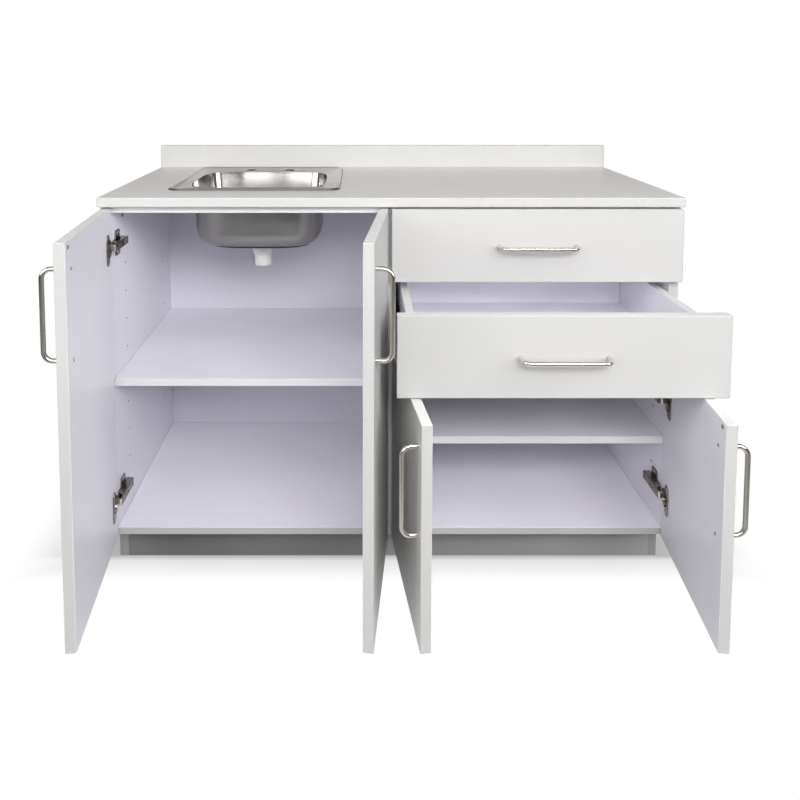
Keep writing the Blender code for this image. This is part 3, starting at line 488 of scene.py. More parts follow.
def smoothLine(points, steps):
    # Catmull-Rom through the given points
    out = []
    for i in range(len(points) - 1):
        a = Vector(points[max(i - 1, 0)])
        b = Vector(points[i])
        c = Vector(points[i + 1])
        d = Vector(points[min(i + 2, len(points) - 1)])
        second = 2 * a - 5 * b + 4 * c - d
        third = 3 * b - a - 3 * c + d
        for s in range(steps):
            t = s / steps
            out.append(0.5 * (2 * b + (c - a) * t + second * t**2 + third * t**3))
    out.append(Vector(points[-1]))
    return out


def toMesh(bm, name):
    bmesh.ops.recalc_face_normals(bm, faces=bm.faces[:])
    mesh = bpy.data.meshes.new(name)
    bm.to_mesh(mesh)
    bm.free()
    return mesh


def carve(bm, cutters):
    # one mesh with others taken out of it
    objs = []
    for i, item in enumerate([bm, *cutters]):
        obj = bpy.data.objects.new("carving" + str(i), toMesh(item, "carving" + str(i)))
        scene.collection.objects.link(obj)
        objs.append(obj)
    for other in objs[1:]:
        step = objs[0].modifiers.new("cut", "BOOLEAN")
        step.operation = "DIFFERENCE"
        step.solver = "EXACT"
        step.object = other
    graph = bpy.context.evaluated_depsgraph_get()
    made = bmesh.new()
    made.from_mesh(objs[0].evaluated_get(graph).to_mesh())
    for obj in objs:
        bpy.data.objects.remove(obj, do_unlink=True)
    return made


def move(bm, matrix):
    bmesh.ops.transform(bm, matrix=matrix, verts=bm.verts[:])
    return bm


def gather(items):
    # several meshes, each with the places where it stands, in one
    whole = bmesh.new()
    for mesh, matrices in items:
        for matrix in matrices:
            start = len(whole.verts)
            whole.from_mesh(mesh)
            whole.verts.ensure_lookup_table()
            bmesh.ops.transform(whole, matrix=matrix, verts=whole.verts[start:])
    return whole


def addPiece(name, shape, finish, angle=35.0, body="cabinet", replaced=()):
    bm = gather(shape) if isinstance(shape, list) else shape
    bmesh.ops.scale(bm, vec=(mm, mm, mm), verts=bm.verts[:])
    mesh = toMesh(bm, name)
    for face in mesh.polygons:
        face.use_smooth = True
    mesh.set_sharp_from_angle(angle=radians(angle))
    mesh.materials.append(finishes[finish])
    obj = bpy.data.objects.new(name, mesh)
    scene.collection.objects.link(obj)
    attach(obj, body)
    if replaced:
        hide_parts(*replaced)
    return obj


def prism(points, low, high):
    bm = bmesh.new()
    face = bm.faces.new([bm.verts.new((x, y, low)) for x, y in points])
    drawn = bmesh.ops.extrude_face_region(bm, geom=[face])
    moved = [v for v in drawn["geom"] if isinstance(v, bmesh.types.BMVert)]
    bmesh.ops.translate(bm, vec=(0, 0, high - low), verts=moved)
    return bm


def lookAlong(axis, spot):
    # matrix that stands a piece made along Z on a spot, pointing along the axis
    turn = Vector(axis).to_track_quat("Z", "Y").to_matrix().to_4x4()
    return shift(spot) @ turn


def pinMatrix(values, angle=0.0):
    # pin space: the pin is the origin, X runs into the opening or along the door, Y to the wall
    turn = Matrix.Rotation(radians(-values["side"] * angle), 4, "Z")
    spot = shift((values["pinX"], pinY, 0))
    return spot @ turn @ Matrix.Diagonal((values["side"], 1, 1, 1))


def hingeLevels(values):
    return (values["top"] - values["inset"], bottomZ + values["inset"])


# small fasteners, with the outline in shares of radius and height
screwHead = {
    "pan": (3.6, 1.9), "flat": (3.2, 0.9),
    "outline": ((0.96, 0.0), (1.0, 0.22), (0.9, 0.62), (0.62, 0.9), (0.25, 1.0)), "recess": 1.3,
    "slot": 0.9, "reach": 4.2,
}


def crossScrew(kind, values=screwHead):
    radius, height = values[kind]
    bm = lathe([(radius * r, height * h) for r, h in values["outline"]], 20)
    wide, reach = values["slot"] / 2, values["reach"] / 2
    bars = []
    for x, y in ((reach, wide), (wide, reach)):
        points = [(-x, -y), (x, -y), (x, y), (-x, y)]
        bars.append(prism(points, height - values["recess"], height + 1.0))
    return toMesh(carve(bm, bars), "crossScrew")


panScrew = crossScrew("pan")
flatScrew = crossScrew("flat")

# wire pulls: smooth bent rods in place of the coarse solids
pullWire = {
    "centres": 160.0, "wire": 8.6, "reach": 33.4, "bend": 17.0, "foot": (-0.3, -2.0),
    "fromTop": 130.0, "fromEdge": 27.0, "steps": 12, "sides": 24,
}
pullX = doorWidth - pinFromEdge - pullWire["fromEdge"]
pullHalf = pullWire["centres"] / 2


def pullMesh(values=pullWire):
    radius, bend = values["wire"] / 2, values["bend"]
    reach = values["reach"] - radius
    path = [(-pullHalf, out) for out in values["foot"]]
    for c, s in arc(180, 270, values["steps"]):
        path.append((-pullHalf + bend + bend * c, -reach + bend + bend * s))
    path += [(-x, y) for x, y in reversed(path)]
    rings = []
    for i, (along, out) in enumerate(path):
        before = Vector(path[max(i - 1, 0)])
        after = Vector(path[min(i + 1, len(path) - 1)])
        ahead = (after - before).normalized()
        ring = []
        for a, b in ringPoints(radius, values["sides"]):
            ring.append((along + ahead.y * a, out - ahead.x * a, b))
        rings.append(ring)
    return toMesh(joinRings(rings, False), "pull")


pullShape = pullMesh()
upright = Matrix.Rotation(radians(-90), 4, "Y")
pulls = []
for name, values in doors.items():
    spot = (pullX, pinFromFace - doorThick, values["top"] - pullWire["fromTop"])
    pulls.append((name, "_leaf", pinMatrix(values, values["rest"]) @ shift(spot) @ upright))
for name, values in drawers.items():
    faceY = drawerInnerY - doorThick - values["out"]
    spot = (halfWidth / 2, faceY, values["bottom"] + drawerFrontHigh / 2)
    pulls.append((name, "_box", shift(spot)))
for name, body, stand in pulls:
    shape = [(pullShape, [stand])]
    addPiece(name + "_wire_pull", shape, "nickel", 40, name + body, [name + "_pull"])
print("pulls made")

# sink: the solid's drawn form with round corners and rolled lips, a little further forward
# rows are the inset, the height, and the way to the underside
deckHigh, lipInset, wallTaper = 1.6, 1.9, 8.0
sink = {
    "x": sinkX, "frontY": -156.0, "backY": 209.0, "halfWidth": 190.5, "corner": 26.0,
    "cornerShare": 0.62, "cornerLeast": 8.0, "sheet": 1.0, "bowlFront": -127.0, "bowlBack": 119.0,
    "drainY": 2.5, "bowlHalf": 155.5, "bowlDeep": 143.0, "fillet": 43.0, "filletSteps": 9,
    "fall": 1.5, "seatRadius": 39.0, "seatSlope": 3.0, "seatDeep": 2.4, "drainRadius": 24.5,
    "tapSpace": 101.6, "tapY": 159.0, "tapRadius": 14.0, "cornerSteps": 14, "sideSteps": 9,
    "ringForm": (1.27, 1.0, 0.45), "bowlPower": 4.8,
    "rimRows": (
        (0.0, 1.9, 0.6, -0.7),
        (1.0, 3.2, 0.4, -0.9),
        (4.0, 4.2, 0.0, -1.0),
        (8.0, 4.0, 0.0, -1.0),
        (11.5, 2.4, 0.0, -1.0),
        (14.5, deckHigh, 0.0, -1.0),
    ),
    "lipRows": (
        (0.0, deckHigh, 0.0, -1.0),
        (0.9, 1.1, -0.6, -0.8),
        (1.6, -0.5, -0.95, -0.3),
        (lipInset, -3.0, -1.0, 0.0),
        (lipInset + wallTaper - 1.0, -60.0, -1.0, 0.0),
    ),
}
underLimit = 0.2


def roundedRing(centre, halfX, halfY, radius, height):
    corners = []
    steps, between = sink["cornerSteps"], sink["sideSteps"]
    for sx, sy, start in ((1, 1, 0), (-1, 1, 90), (-1, -1, 180), (1, -1, 270)):
        x, y = centre[0] + sx * (halfX - radius), centre[1] + sy * (halfY - radius)
        turns = arc(start, start + 90, steps)
        corners.append([(x + radius * c, y + radius * s, height) for c, s in turns])
    points = []
    for i, corner in enumerate(corners):
        a, b = Vector(corner[-1]), Vector(corners[(i + 1) % 4][0])
        points += corner + [tuple(a.lerp(b, j / (between + 1))) for j in range(1, between + 1)]
    return points


def fullRing(centre, halfX, halfY, height, power=2.0):
    # full-sided oval: its curve runs on without a break from side to corner
    points = []
    for x, y, _ in roundedRing((0, 0), *sink["ringForm"], 0.0):
        grow = (abs(x / halfX) ** power + abs(y / halfY) ** power) ** (-1 / power)
        points.append((centre[0] + x * grow, centre[1] + y * grow, height))
    return points


def outlineOf(front, back, halfX):
    centre = (sink["x"], (sink[front] + sink[back]) / 2)
    return centre, sink[halfX], (sink[back] - sink[front]) / 2


rimOutline = outlineOf("frontY", "backY", "halfWidth")
bowlOutline = outlineOf("bowlFront", "bowlBack", "bowlHalf")


def sinkLayer(rimRows, bowlRows, seatRows, down, values=sink):
    centre, halfX, halfY = rimOutline
    rings = []
    for inset, height, wayIn, wayUp in rimRows:
        inset += wayIn * down
        keep = max(values["corner"] - inset * values["cornerShare"], values["cornerLeast"])
        level = topZ + height + wayUp * down
        rings.append(roundedRing(centre, halfX - inset, halfY - inset, keep, level))
    centre, halfX, halfY = bowlOutline
    for inset, height, wayIn, wayUp in bowlRows:
        inset += wayIn * down
        level = topZ + height + wayUp * down
        rings.append(fullRing(centre, halfX - inset, halfY - inset, level, values["bowlPower"]))
    for radius, height in seatRows:
        rings.append(fullRing((values["x"], values["drainY"]), radius, radius, topZ - down + height))
    return rings


def sinkMesh(values=sink):
    start = values["fillet"] - values["bowlDeep"]
    floor = -values["bowlDeep"] - values["fall"]
    seat = floor - values["seatDeep"]
    bowlRows = smoothLine(values["lipRows"], 3)
    for c, s in arc(0, 90, values["filletSteps"]):
        inset = lipInset + wallTaper + values["fillet"] * (1 - c)
        bowlRows.append(Vector((inset, start - values["fillet"] * s, -c, -s)))
    seatRows = [(values["seatRadius"] + values["seatSlope"], floor)]
    seatRows += [(values["seatRadius"], seat), (values["drainRadius"], seat)]
    rows = (smoothLine(values["rimRows"], 3), bowlRows, seatRows)
    bm = joinRings(sinkLayer(*rows, 0.0) + sinkLayer(*rows, values["sheet"])[::-1])
    bmesh.ops.remove_doubles(bm, verts=bm.verts[:], dist=0.01)
    holes = []
    for side in (-1, 1):
        spot = (values["x"] + side * values["tapSpace"] / 2, values["tapY"], topZ)
        holes.append(move(rod(values["tapRadius"], -12.0, 12.0, 48), shift(spot)))
    return carve(bm, holes)


sinkPiece = addPiece("drawn_sink", sinkMesh(), "steel", 50, replaced=["sink_bowl"])
# painted shade: the bowl's outer walls and underside take the darker copy of the steel
sinkPiece.data.materials.append(finishes["steelShadedUnder"])
sinkMiddle = Vector((*bowlOutline[0], 0)) * mm
for face in sinkPiece.data.polygons:
    outward = ((face.center - sinkMiddle) * Vector((1, 1, 0))).normalized()
    below = face.center.z < topZ * mm and face.normal.dot(outward) > underLimit
    face.material_index = 1 if below or face.normal.z < -underLimit else 0

# dark pad under the flat of the bowl, round the drain: a dark sheet that stands in for the shade under
# the bowl
shadePad = {
    "halfX": 118.0, "halfY": 76.0, "power": 3.4, "hole": 47.0, "top": -145.7, "thick": 4.0,
    "edge": ((0.8, 0.0), (0.0, 0.8), (0.0, 2.8), (1.6, 4.0)),
}


def shadePadMesh(values=shadePad):
    centre = (sink["x"], sink["drainY"])
    top = topZ + values["top"]
    rings = []
    for inset, drop in values["edge"]:
        halfX, halfY = values["halfX"] - inset, values["halfY"] - inset
        rings.append(fullRing(centre, halfX, halfY, top - drop, values["power"]))
    for drop in (values["thick"], 0.0):
        rings.append(fullRing(centre, values["hole"], values["hole"], top - drop))
    return joinRings(rings)


addPiece("sink_shade_pad", shadePadMesh(), "shadePadBlack", 40)

# thin bead of seal that the rim sits on
rimSeal = {"proud": 1.1, "lean": 0.6, "wide": 7.0, "thick": 1.25, "lift": 0.05}


def sealMesh(values=rimSeal):
    centre, halfX, halfY = rimOutline
    low = topZ + values["lift"]
    proud, high = values["proud"], low + values["thick"]
    inside = proud - values["wide"]
    rings = []
    for grow, z in ((proud, low), (proud * values["lean"], high), (inside, high), (inside, low)):
        rings.append(roundedRing(centre, halfX + grow, halfY + grow, sink["corner"] + grow, z))
    return joinRings(rings)


addPiece("sink_rim_seal", sealMesh(), "sealGrey", 40)
print("sink made")

# drain parts under and in the bowl; the nut's levels are a height and how far it grows there
drain = {
    "seat": topZ - 146.9, "lift": 0.3, "tube": 23.0, "wall": 2.6, "tubeLong": 24.0, "well": 9.5,
    "holes": ((17.0, 12, 1.7), (12.2, 8, 1.7), (8.2, 6, 1.3)), "nut": 28.5, "nutDrop": 1.3,
    "nutBottom": 654.5,
    "nutLevels": ((672.0, 0.0), (666.5, -1.9), (661.0, -4.3), (657.0, -5.7), (656.2, -6.1)),
    "nutStep": 663.5, "nutSides": 96, "rib": 0.6, "ribFrom": 666.0, "play": 0.3, "tail": 21.5,
    "tailWall": 2.2, "tailTop": 666.6, "end": 631.4,
}
drainSpot = shift((sink["x"], sink["drainY"], 0))


def strainerMesh(values=drain):
    seat = values["seat"] + values["lift"]
    tube, inside = values["tube"], values["tube"] - values["wall"]
    tubeEnd = values["seat"] - values["tubeLong"]
    well = seat - values["well"]
    outer = sink["seatRadius"] - 1.2
    profile = [(outer, seat), (outer, seat + 1.0), (outer - 1.0, seat + 1.7), (outer - 3.8, seat + 2.0)]
    profile += [(tube + 3.0, seat + 1.6), (tube - 0.4, seat + 0.9), (inside, seat - 1.2)]
    profile += [(inside, well + 2.5), (inside - 1.5, well + 0.9), (14.0, well + 0.2), (6.0, well)]
    profile += [(3.2, well + 0.4), (3.2, well - 2.0), (6.0, well - 2.0), (inside, well - 1.0)]
    profile += [(inside, tubeEnd), (tube, tubeEnd), (tube, seat)]
    holes = []
    for ring, count, size in values["holes"]:
        for x, y in ringPoints(ring, count):
            holes.append(move(rod(size, well - 5.0, well + 5.0, 12), shift((x, y, 0))))
    return carve(lathe(profile, 64, True), holes)


def nutMesh(values=drain):
    top, bottom = values["seat"] - values["nutDrop"], values["nutBottom"]
    levels = [(top, -1.2), (top - 1.0, 0.0), *values["nutLevels"], (bottom, -6.3)]
    rings = []
    for height, grow in levels:
        ring = []
        for i, (x, y) in enumerate(ringPoints(1.0, values["nutSides"])):
            ribbed = i % 8 in (0, 1) and height > values["ribFrom"]
            radius = values["nut"] + grow - (values["rib"] if ribbed else 0.0)
            ring.append((x * radius, y * radius, height))
        rings.append(ring)
    narrow, wide = values["tail"] + values["play"], values["tube"] + values["play"]
    step = values["nutStep"]
    for height, radius in ((bottom, narrow), (step, narrow), (step, wide), (top, wide)):
        rings.append([(x, y, height) for x, y in ringPoints(radius, values["nutSides"])])
    return joinRings(rings)


def tailMesh(values=drain):
    tail, top, end = values["tail"], values["tailTop"], values["end"]
    inner = tail - values["tailWall"]
    profile = [(tail, top), (tail, end + 1.6), (tail - 0.5, end + 0.5), (tail - 1.2, end)]
    profile += [(inner + 0.3, end), (inner, end + 0.6), (inner, top)]
    return lathe(profile, 64, True)


bm = move(strainerMesh(), drainSpot)
addPiece("strainer_cup", bm, "steel", replaced=["drain_strainer"])
bm = move(nutMesh(), drainSpot)
addPiece("coupling_nut", bm, "drainWhite", 30, replaced=["drain_nut"])
bm = move(tailMesh(), drainSpot)
addPiece("tail_pipe", bm, "drainWhite", 30, replaced=["drain_tailpiece"])
print("drain made")

# hinges in pin space: a bright link runs from the eye on the pin to the arm, which lies on a plate
# slots are a place, a length and a width
hinge = {
    "eye": 2.9, "bore": 1.6, "outer": 23.5, "inner": 21.1, "bend": 3.0, "linkEnd": 1.95,
    "linkHigh": 6.8, "lift": 0.6, "armTop": 24.3, "armStart": 2.0, "armEnd": 78.0, "armHigh": 8.0,
    "armGap": 1.2, "cheek": 1.5, "nose": ((4.5, 13.5), (2.6, 0.0)), "noseLong": 21.0,
    "slots": ((34.0, 15.0, 6.4), (62.0, 14.0, 7.6)), "plateMiddle": 53.0, "plateWing": 12.0,
    "plateHigh": 28.0, "plateThick": 2.6, "plateGap": 0.3, "plateStart": 23.0, "neckHigh": 9.0,
    "rootHigh": 10.0, "wingSlot": (18.5, 13.0, 5.2), "cupX": 11.5, "cupRadius": 17.5,
    "cupBase": -4.4, "cupLip": 14.2, "cupWall": 1.0, "flangeLow": 12.3, "flangeHigh": 14.0,
    "flangeReach": 32.5, "pin": (1.25, -12.2, 12.2),
}
standXz = Matrix(((1, 0, 0, 0), (0, 0, 1, 0), (0, 1, 0, 0), (0, 0, 0, 1)))
standYz = Matrix(((0, 0, 1, 0), (1, 0, 0, 0), (0, 1, 0, 0), (0, 0, 0, 1)))
past = 9.0  # how far a cutter stands out


def soften(bm, size, angle=40.0):
    # small round on the hard edges
    bmesh.ops.recalc_face_normals(bm, faces=bm.faces[:])
    limit = radians(angle)
    hard = [e for e in bm.edges if len(e.link_faces) == 2 and e.calc_face_angle() > limit]
    bmesh.ops.bevel(
        bm, geom=hard, offset=size, segments=2, profile=0.5, affect="EDGES", clamp_overlap=True
    )
    return bm


def roundCorners(points, radius, steps=4):
    out = []
    for i, point in enumerate(points):
        here = Vector(point)
        before, after = Vector(points[i - 1]), Vector(points[(i + 1) % len(points)])
        reach = min(radius, (before - here).length / 2.2, (after - here).length / 2.2)
        start = here + (before - here).normalized() * reach
        end = here + (after - here).normalized() * reach
        for j in range(steps + 1):
            t = j / steps
            out.append(tuple(start * (1 - t) ** 2 + here * 2 * t * (1 - t) + end * t**2))
    return out


def slotCutter(centre, length, width, low, high):
    points = []
    for side in (1, -1):
        for c, s in arc(-90, 90, 8):
            along = side * ((length - width) / 2 + width / 2 * c)
            points.append((centre[0] + along, centre[1] + side * width / 2 * s))
    return move(prism(points, low, high), standYz)


def linkMesh(values=hinge):
    half = (values["outer"] - values["inner"]) / 2
    eye, bend = values["eye"], values["bend"]
    start = degrees(asin(half / eye))
    strip = [(eye * c, eye * s) for c, s in arc(start, 360 - start, 24)]
    for c, s in arc(-90, 0, 8):
        strip.append((values["outer"] - bend + bend * c, -half + bend + bend * s))
    strip += [(values["outer"], values["linkEnd"]), (values["inner"], values["linkEnd"])]
    strip.append((values["inner"] - 0.6, half))
    bm = soften(prism(strip, -values["linkHigh"], values["linkHigh"]), 0.35, 50.0)
    return toMesh(carve(bm, [rod(values["bore"], -20.0, 20.0, 16)]), "link")


def armMesh(face, values=hinge):
    # channel with two slots, open to the plate, with a tapering nose
    top, start, end = values["armTop"], values["armStart"], values["armEnd"]
    high = values["armHigh"]
    near = face + values["armGap"]
    side = [(top, start), (top, end - 1.0), (top - 1.0, end), (near, end)]
    side += [(near, start + values["noseLong"])]
    side += [(top - down, start + along) for down, along in values["nose"]]
    bm = soften(prism(side, -high, high), 0.5)
    wide, deep = high - values["cheek"], top - values["cheek"]
    hollow = [(near - past, start - past), (deep, start - past)]
    hollow += [(deep, end + past), (near - past, end + past)]
    cutters = [prism(hollow, -wide, wide)]
    for centre, length, width in values["slots"]:
        cutters.append(slotCutter((centre, 0.0), length, width, top - past, top + past))
    return toMesh(carve(bm, cutters), "arm")


def plateMesh(face, values=hinge):
    # flat plate with a slotted wing above and below the arm
    middle, wing, high = values["plateMiddle"], values["plateWing"], values["plateHigh"]
    neck, root = values["neckHigh"], values["rootHigh"]
    upper = [(values["armEnd"] - 10.0, neck), (middle + wing + 2.0, root), (middle + wing, high)]
    upper += [(middle - wing, high), (middle - wing - 2.0, root), (values["plateStart"], neck)]
    shape = roundCorners(upper + [(y, -z) for y, z in reversed(upper)], 4.0)
    low = face + values["plateGap"]
    bm = move(soften(prism(shape, low, low + values["plateThick"]), 0.7, 60.0), standYz)
    fromArm, length, width = values["wingSlot"]
    cutters = []
    for side in (-1, 1):
        cutters.append(slotCutter((middle, side * fromArm), length, width, face - past, face + past))
    return toMesh(carve(bm, cutters), "plate")


def cupMesh(values=hinge):
    centre, radius, count = values["cupX"], values["cupRadius"], 48
    base, lip = values["cupBase"], values["cupLip"]
    inner = radius - values["cupWall"]
    stand = shift((centre, 0, 0)) @ standXz
    rows = [(radius - 0.6, base), (radius, base + 0.8), (radius, lip), (inner + 0.3, lip + 0.05)]
    rows += [(inner, lip - 0.4), (inner, base + 1.6), (inner - 0.8, base + 0.9)]
    cup = move(lathe(rows, count), stand)
    # ears above and below, joined by a band round the back of the cup
    reach, band = values["flangeReach"], radius + 1.9
    upper = [(centre + radius + 2.5, reach - 6.0), (centre + 15.0, reach), (centre + 5.0, reach)]
    upper.append((centre + 1.0, reach - 4.0))
    upper += [(centre + band * c, band * s) for c, s in arc(96, 159, 7)]
    outline = upper + [(x, -z) for x, z in reversed(upper)]
    low, high = values["flangeLow"], values["flangeHigh"]
    flange = move(soften(prism(outline, low, high), 0.5, 60.0), standXz)
    hole = move(rod(radius - 0.5, low - past, high + past, count), stand)
    still = [Matrix.Identity(4)]
    parts = [(toMesh(cup, "cup"), still), (toMesh(carve(flange, [hole]), "flange"), still)]
    parts.append((toMesh(rod(*values["pin"], 16), "pin"), still))
    return toMesh(gather(parts), "cupSet")


linkShape = linkMesh()
cupShape = cupMesh()
armShapes = {face: armMesh(face) for face in (sideFace, wallFace)}
plateShapes = {face: plateMesh(face) for face in (sideFace, wallFace)}
for name, values in doors.items():
    levels = hingeLevels(values)
    door, wall = pinMatrix(values, values["rest"]), pinMatrix(values)
    spots = [door @ shift((0, 0, z)) for z in levels]
    cups = [name + "_upper_cup", name + "_lower_cup"]
    addPiece(name + "_hinge_cups", [(cupShape, spots)], "plated", 40, name + "_leaf", cups)
    spots = [wall @ shift((0, 0, z)) for z in levels]
    lifted = [wall @ shift((0, 0, z + hinge["lift"])) for z in levels]
    addPiece(name + "_hinge_links", [(linkShape, lifted)], "link", 40)
    shape = [(armShapes[values["face"]], lifted), (plateShapes[values["face"]], spots)]
    arms = [name + "_upper_arm", name + "_lower_arm"]
    addPiece(name + "_hinge_arms", shape, "plated", 40, replaced=arms)
print("hinges made")

# screws and bumpers on the doors, screws on the hinge arms
hingeFit = {"earX": 21.5, "earY": 14.0, "earZ": 26.5, "plateZ": 21.5, "plateLift": 2.9, "armX": 23.4}
bumper = {
    "profile": [(4.0, 0.0), (4.0, 0.5), (3.5, 1.3), (2.4, 1.7), (0.8, 1.8)],
    "fromEdge": 14.0, "fromTop": 10.0,
}
bumperShape = toMesh(lathe(bumper["profile"], 24), "bumper")
bumperX = doorWidth - pinFromEdge - bumper["fromEdge"]
for name, values in doors.items():
    door, wall = pinMatrix(values, values["rest"]), pinMatrix(values)
    pullZ = values["top"] - pullWire["fromTop"]
    plateX = values["face"] + hingeFit["plateLift"]
    heads, ears, plates, adjusters = [], [], [], []
    for side in (-1, 1):
        heads.append(door @ lookAlong(back, (pullX, pinFromFace, pullZ + side * pullHalf)))
    for z in hingeLevels(values):
        for side in (-1, 1):
            spot = (hingeFit["earX"], hingeFit["earY"], z + side * hingeFit["earZ"])
            ears.append(door @ lookAlong(back, spot))
            spot = (plateX, hinge["plateMiddle"], z + side * hingeFit["plateZ"])
            plates.append(wall @ lookAlong(right, spot))
        for y, _, _ in hinge["slots"]:
            adjusters.append(wall @ lookAlong(right, (hingeFit["armX"], y, z + hinge["lift"])))
    shape = [(panScrew, heads), (flatScrew, ears)]
    addPiece(name + "_screws", shape, "screw", body=name + "_leaf")
    stop = door @ lookAlong(back, (bumperX, pinFromFace, values["top"] - bumper["fromTop"]))
    shape = [(bumperShape, [stop])]
    addPiece(name + "_bumper", shape, "bumperBrown", body=name + "_leaf")
    shape = [(panScrew, plates), (flatScrew, adjusters)]
    addPiece(name + "_arm_screws", shape, "screw")
print("hinge screws and bumpers made")

# rows of peg holes: the top hole, how many, the one with the shelf's peg, the front row, walls and ways
pegRows = {
    "left": (671.8, 8, 4, -131.0, ((-sideX, 1), (-wallX, -1))),
    "right": (355.8, 3, 1, -161.0, ((wallX, 1), (sideX, -1))),
}
pegPitch, pegRearY = 64.0, 154.0
pegProfile = [(2.4, -6.0), (2.4, 0.1), (4.2, 0.3), (4.2, 1.4), (2.9, 1.9), (2.9, 8.0), (2.3, 9.0)]
boreProfile = [(2.5, -7.6), (2.5, -0.3), (2.1, -0.3), (2.1, -7.0)]


def pegSpots(name, withPeg):
    top, count, pegged, pegFrontY, walls = pegRows[name]
    spots = []
    for x, way in walls:
        for row in range(count):
            if (row == pegged) == withPeg:
                z = top - pegPitch * row
                spots += [lookAlong((way, 0, 0), (x, y, z)) for y in (pegFrontY, pegRearY)]
    return spots


pegShape = toMesh(lathe(pegProfile, 20), "peg")
for name in pegRows:
    addPiece(name + "_shelf_pegs", [(pegShape, pegSpots(name, True))], "zinc")
print("shelf pegs made")

# raw board inside the empty holes
boreShape = toMesh(lathe(boreProfile, 16), "bore")
for name in pegRows:
    addPiece(name + "_peg_bores", [(boreShape, pegSpots(name, False))], "chipboard")
print("peg holes made")

# cam fitting high on the left panel, under the worktop
camFitting = {"y": -144.0, "z": 784.0, "profile": [(6.2, 0.0), (6.2, 0.5), (5.4, 1.0), (2.0, 1.2)]}
spot = lookAlong(right, (-sideX, camFitting["y"], camFitting["z"]))
camShape = toMesh(lathe(camFitting["profile"], 28), "cam")
addPiece("left_panel_cam", [(camShape, [spot])], "bumperBrown")

# screws of the pulls, inside the drawer fronts
for name, values in drawers.items():
    y, z = drawerInnerY - values["out"], values["bottom"] + drawerFrontHigh / 2
    xs = [halfWidth / 2 + side * pullHalf for side in (-1, 1)]
    shape = [(panScrew, [lookAlong(back, (x, y, z)) for x in xs])]
    addPiece(name + "_screws", shape, "screw", body=name + "_box")
print("drawer screws made")

# lamps: place and size in metres, power in watts
lamps = {
    "lampBank": ((0.0, -2.0, 2.4), (3.2, 1.7), 33.0),
    "lampFront": ((0.4, -2.6, 2.0), (1.8, 0.8), 50.0),
    "lampLeft": ((-2.4, -1.6, 1.7), (1.2, 1.6), 30.0),
    "lampRight": ((2.2, -1.8, 1.75), (1.2, 1.4), 37.0),
    "lampLow": ((-1.5, -3.0, 1.25), (1.8, 0.8), 13.5),
    "lampRear": ((0.5, 2.3, 0.5), (2.4, 0.5), 26.0),
}
lampTarget = (0, -0.2, 0.45)
ambientLevel = 0.02
# the room is dim behind the camera, above and to the sides, so polished metal has something dark to show
room = {
    "behind": (-0.75, -0.1, 0.12, 1.0), "above": (0.1, 0.45, 1.0, 0.2), "far": (0.3, 0.8, 1.0, 0.6),
    "sides": (0.2, 0.6, 1.0, 0.12),
}
# the floor is plain white away from the object and lit close by, with a painted shadow along the foot of
# the toe board; metal mirrors a strip of it, with painted shade dimming it close to the cabinet
ground = {
    "size": 9.0, "z": -0.0005, "grey": (0.2, 0.2, 0.2, 1.0), "glow": (-0.17, -0.154, 0.6, 0.3),
    "fadeSides": (0.60, 0.86), "fadeFront": (-0.15, -0.245), "fadeBack": (0.22, 0.5),
    "mirrorFront": (-1.1, -0.5), "mirrorBack": (-0.45, -0.28, 1.0, 0.25),
    "mirrorSides": (0.75, 1.05, 1.0, 0.08),
}
# the photograph's camera, with its shifted lens
view = {
    "sensor": 36.0, "lens": 30.4867, "shift": (0.05403, -0.34933),
    "spot": (-0.070893, -1.628260, 1.091279), "tilt": 86.1692,
}
coolWhite, plainWhite = (0.97, 0.98, 1.0, 1.0), (1.0, 1.0, 1.0, 1.0)


def makeWorld():
    world = bpy.data.worlds.new("studio")
    scene.world = world
    world.use_nodes = True
    tree = world.node_tree
    tree.nodes.clear()
    path = place(tree, "LightPath").outputs
    seen = calc(tree, "MAXIMUM", path["Is Camera Ray"], path["Is Transmission Ray"])
    x, y, z = axesOf(tree, place(tree, "TexCoord").outputs["Generated"])
    dim = ramp(tree, y, *room["behind"])
    for value, key in ((z, "above"), (y, "far"), (calc(tree, "ABSOLUTE", x), "sides")):
        dim = calc(tree, "MINIMUM", dim, ramp(tree, value, *room[key]))
    shown = calc(tree, "MAXIMUM", seen, calc(tree, "MULTIPLY", path["Is Glossy Ray"], dim))
    ambient = place(tree, "Background", {"Color": coolWhite, "Strength": ambientLevel})
    white = place(tree, "Background", {"Color": plainWhite, "Strength": 1.0})
    mixer = place(tree, "MixShader", {0: shown, 1: ambient.outputs[0], 2: white.outputs[0]})
    out = tree.nodes.new("ShaderNodeOutputWorld")
    tree.links.new(mixer.outputs[0], out.inputs[0])


def addLamp(name, spot, size, power):
    lamp = bpy.data.lights.new(name, "AREA")
    lamp.shape = "RECTANGLE"
    lamp.size, lamp.size_y = size
    lamp.energy = power
    obj = bpy.data.objects.new(name, lamp)
    obj.location = spot
    obj.rotation_mode = "QUATERNION"
    obj.rotation_quaternion = (Vector(lampTarget) - Vector(spot)).to_track_quat("-Z", "Y")
    scene.collection.objects.link(obj)


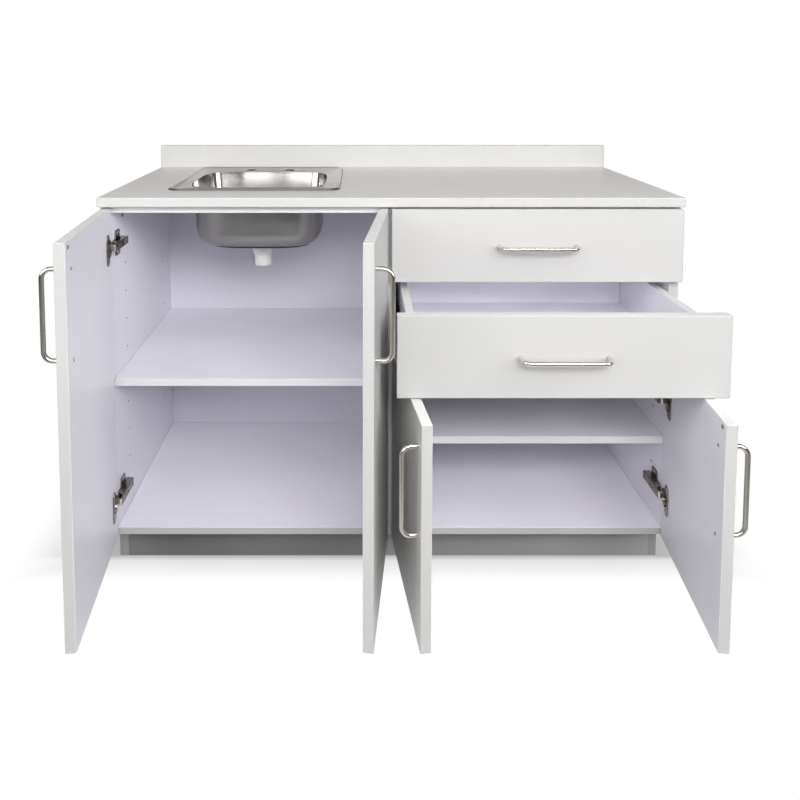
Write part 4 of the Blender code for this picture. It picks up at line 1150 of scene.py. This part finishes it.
def makeFloor(values=ground):
    bm = bmesh.new()
    bmesh.ops.create_grid(bm, x_segments=8, y_segments=8, size=values["size"])
    mesh = bpy.data.meshes.new("floor")
    bm.to_mesh(mesh)
    bm.free()
    floor = bpy.data.objects.new("floor", mesh)
    floor.location = (0, 0, values["z"])
    scene.collection.objects.link(floor)
    material, tree, shader = startMaterial("floorWhite")
    tree.nodes.remove(shader)
    path = place(tree, "LightPath").outputs
    x, y, _ = axesOf(tree, place(tree, "TexCoord").outputs["Object"])
    across = calc(tree, "ABSOLUTE", x)
    mirrored = path["Is Glossy Ray"]
    # painted shade: mirrorBack dims the floor in reflections close to the cabinet
    for value, key in ((y, "mirrorFront"), (y, "mirrorBack"), (across, "mirrorSides")):
        mirrored = calc(tree, "MULTIPLY", mirrored, ramp(tree, value, *values[key]))
    seen = calc(tree, "MAXIMUM", path["Is Camera Ray"], path["Is Transmission Ray"])
    seen = calc(tree, "MAXIMUM", seen, mirrored)
    away = 0.0
    for value, key in ((across, "fadeSides"), (y, "fadeFront"), (y, "fadeBack")):
        part = ramp(tree, value, *values[key])
        part.node.interpolation_type = "SMOOTHSTEP"
        away = calc(tree, "MAXIMUM", away, part)
    # painted shadow: the glow drops along the foot of the toe board and under the cabinet
    glow = calc(tree, "MULTIPLY", seen, ramp(tree, y, *values["glow"]))
    diffuse = place(tree, "BsdfDiffuse", {"Color": values["grey"]})
    lit = place(tree, "Emission", {"Color": plainWhite, "Strength": glow})
    both = place(tree, "AddShader", {0: diffuse.outputs[0], 1: lit.outputs[0]})
    white = place(tree, "Emission", {"Color": plainWhite, "Strength": 1.0})
    fade = calc(tree, "MULTIPLY", away, seen)
    mixer = place(tree, "MixShader", {0: fade, 1: both.outputs[0], 2: white.outputs[0]})
    tree.links.new(mixer.outputs[0], tree.nodes["Material Output"].inputs["Surface"])
    mesh.materials.append(material)


def makeCamera(values=view):
    lens = bpy.data.cameras.new("camera")
    lens.sensor_width = values["sensor"]
    lens.lens = values["lens"]
    lens.shift_x, lens.shift_y = values["shift"]
    camera = bpy.data.objects.new("camera", lens)
    camera.location = values["spot"]
    camera.rotation_euler = (radians(values["tilt"]), 0, 0)
    scene.collection.objects.link(camera)
    scene.camera = camera


makeWorld()
for name, values in lamps.items():
    addLamp(name, *values)
makeFloor()
makeCamera()
print("stage set")
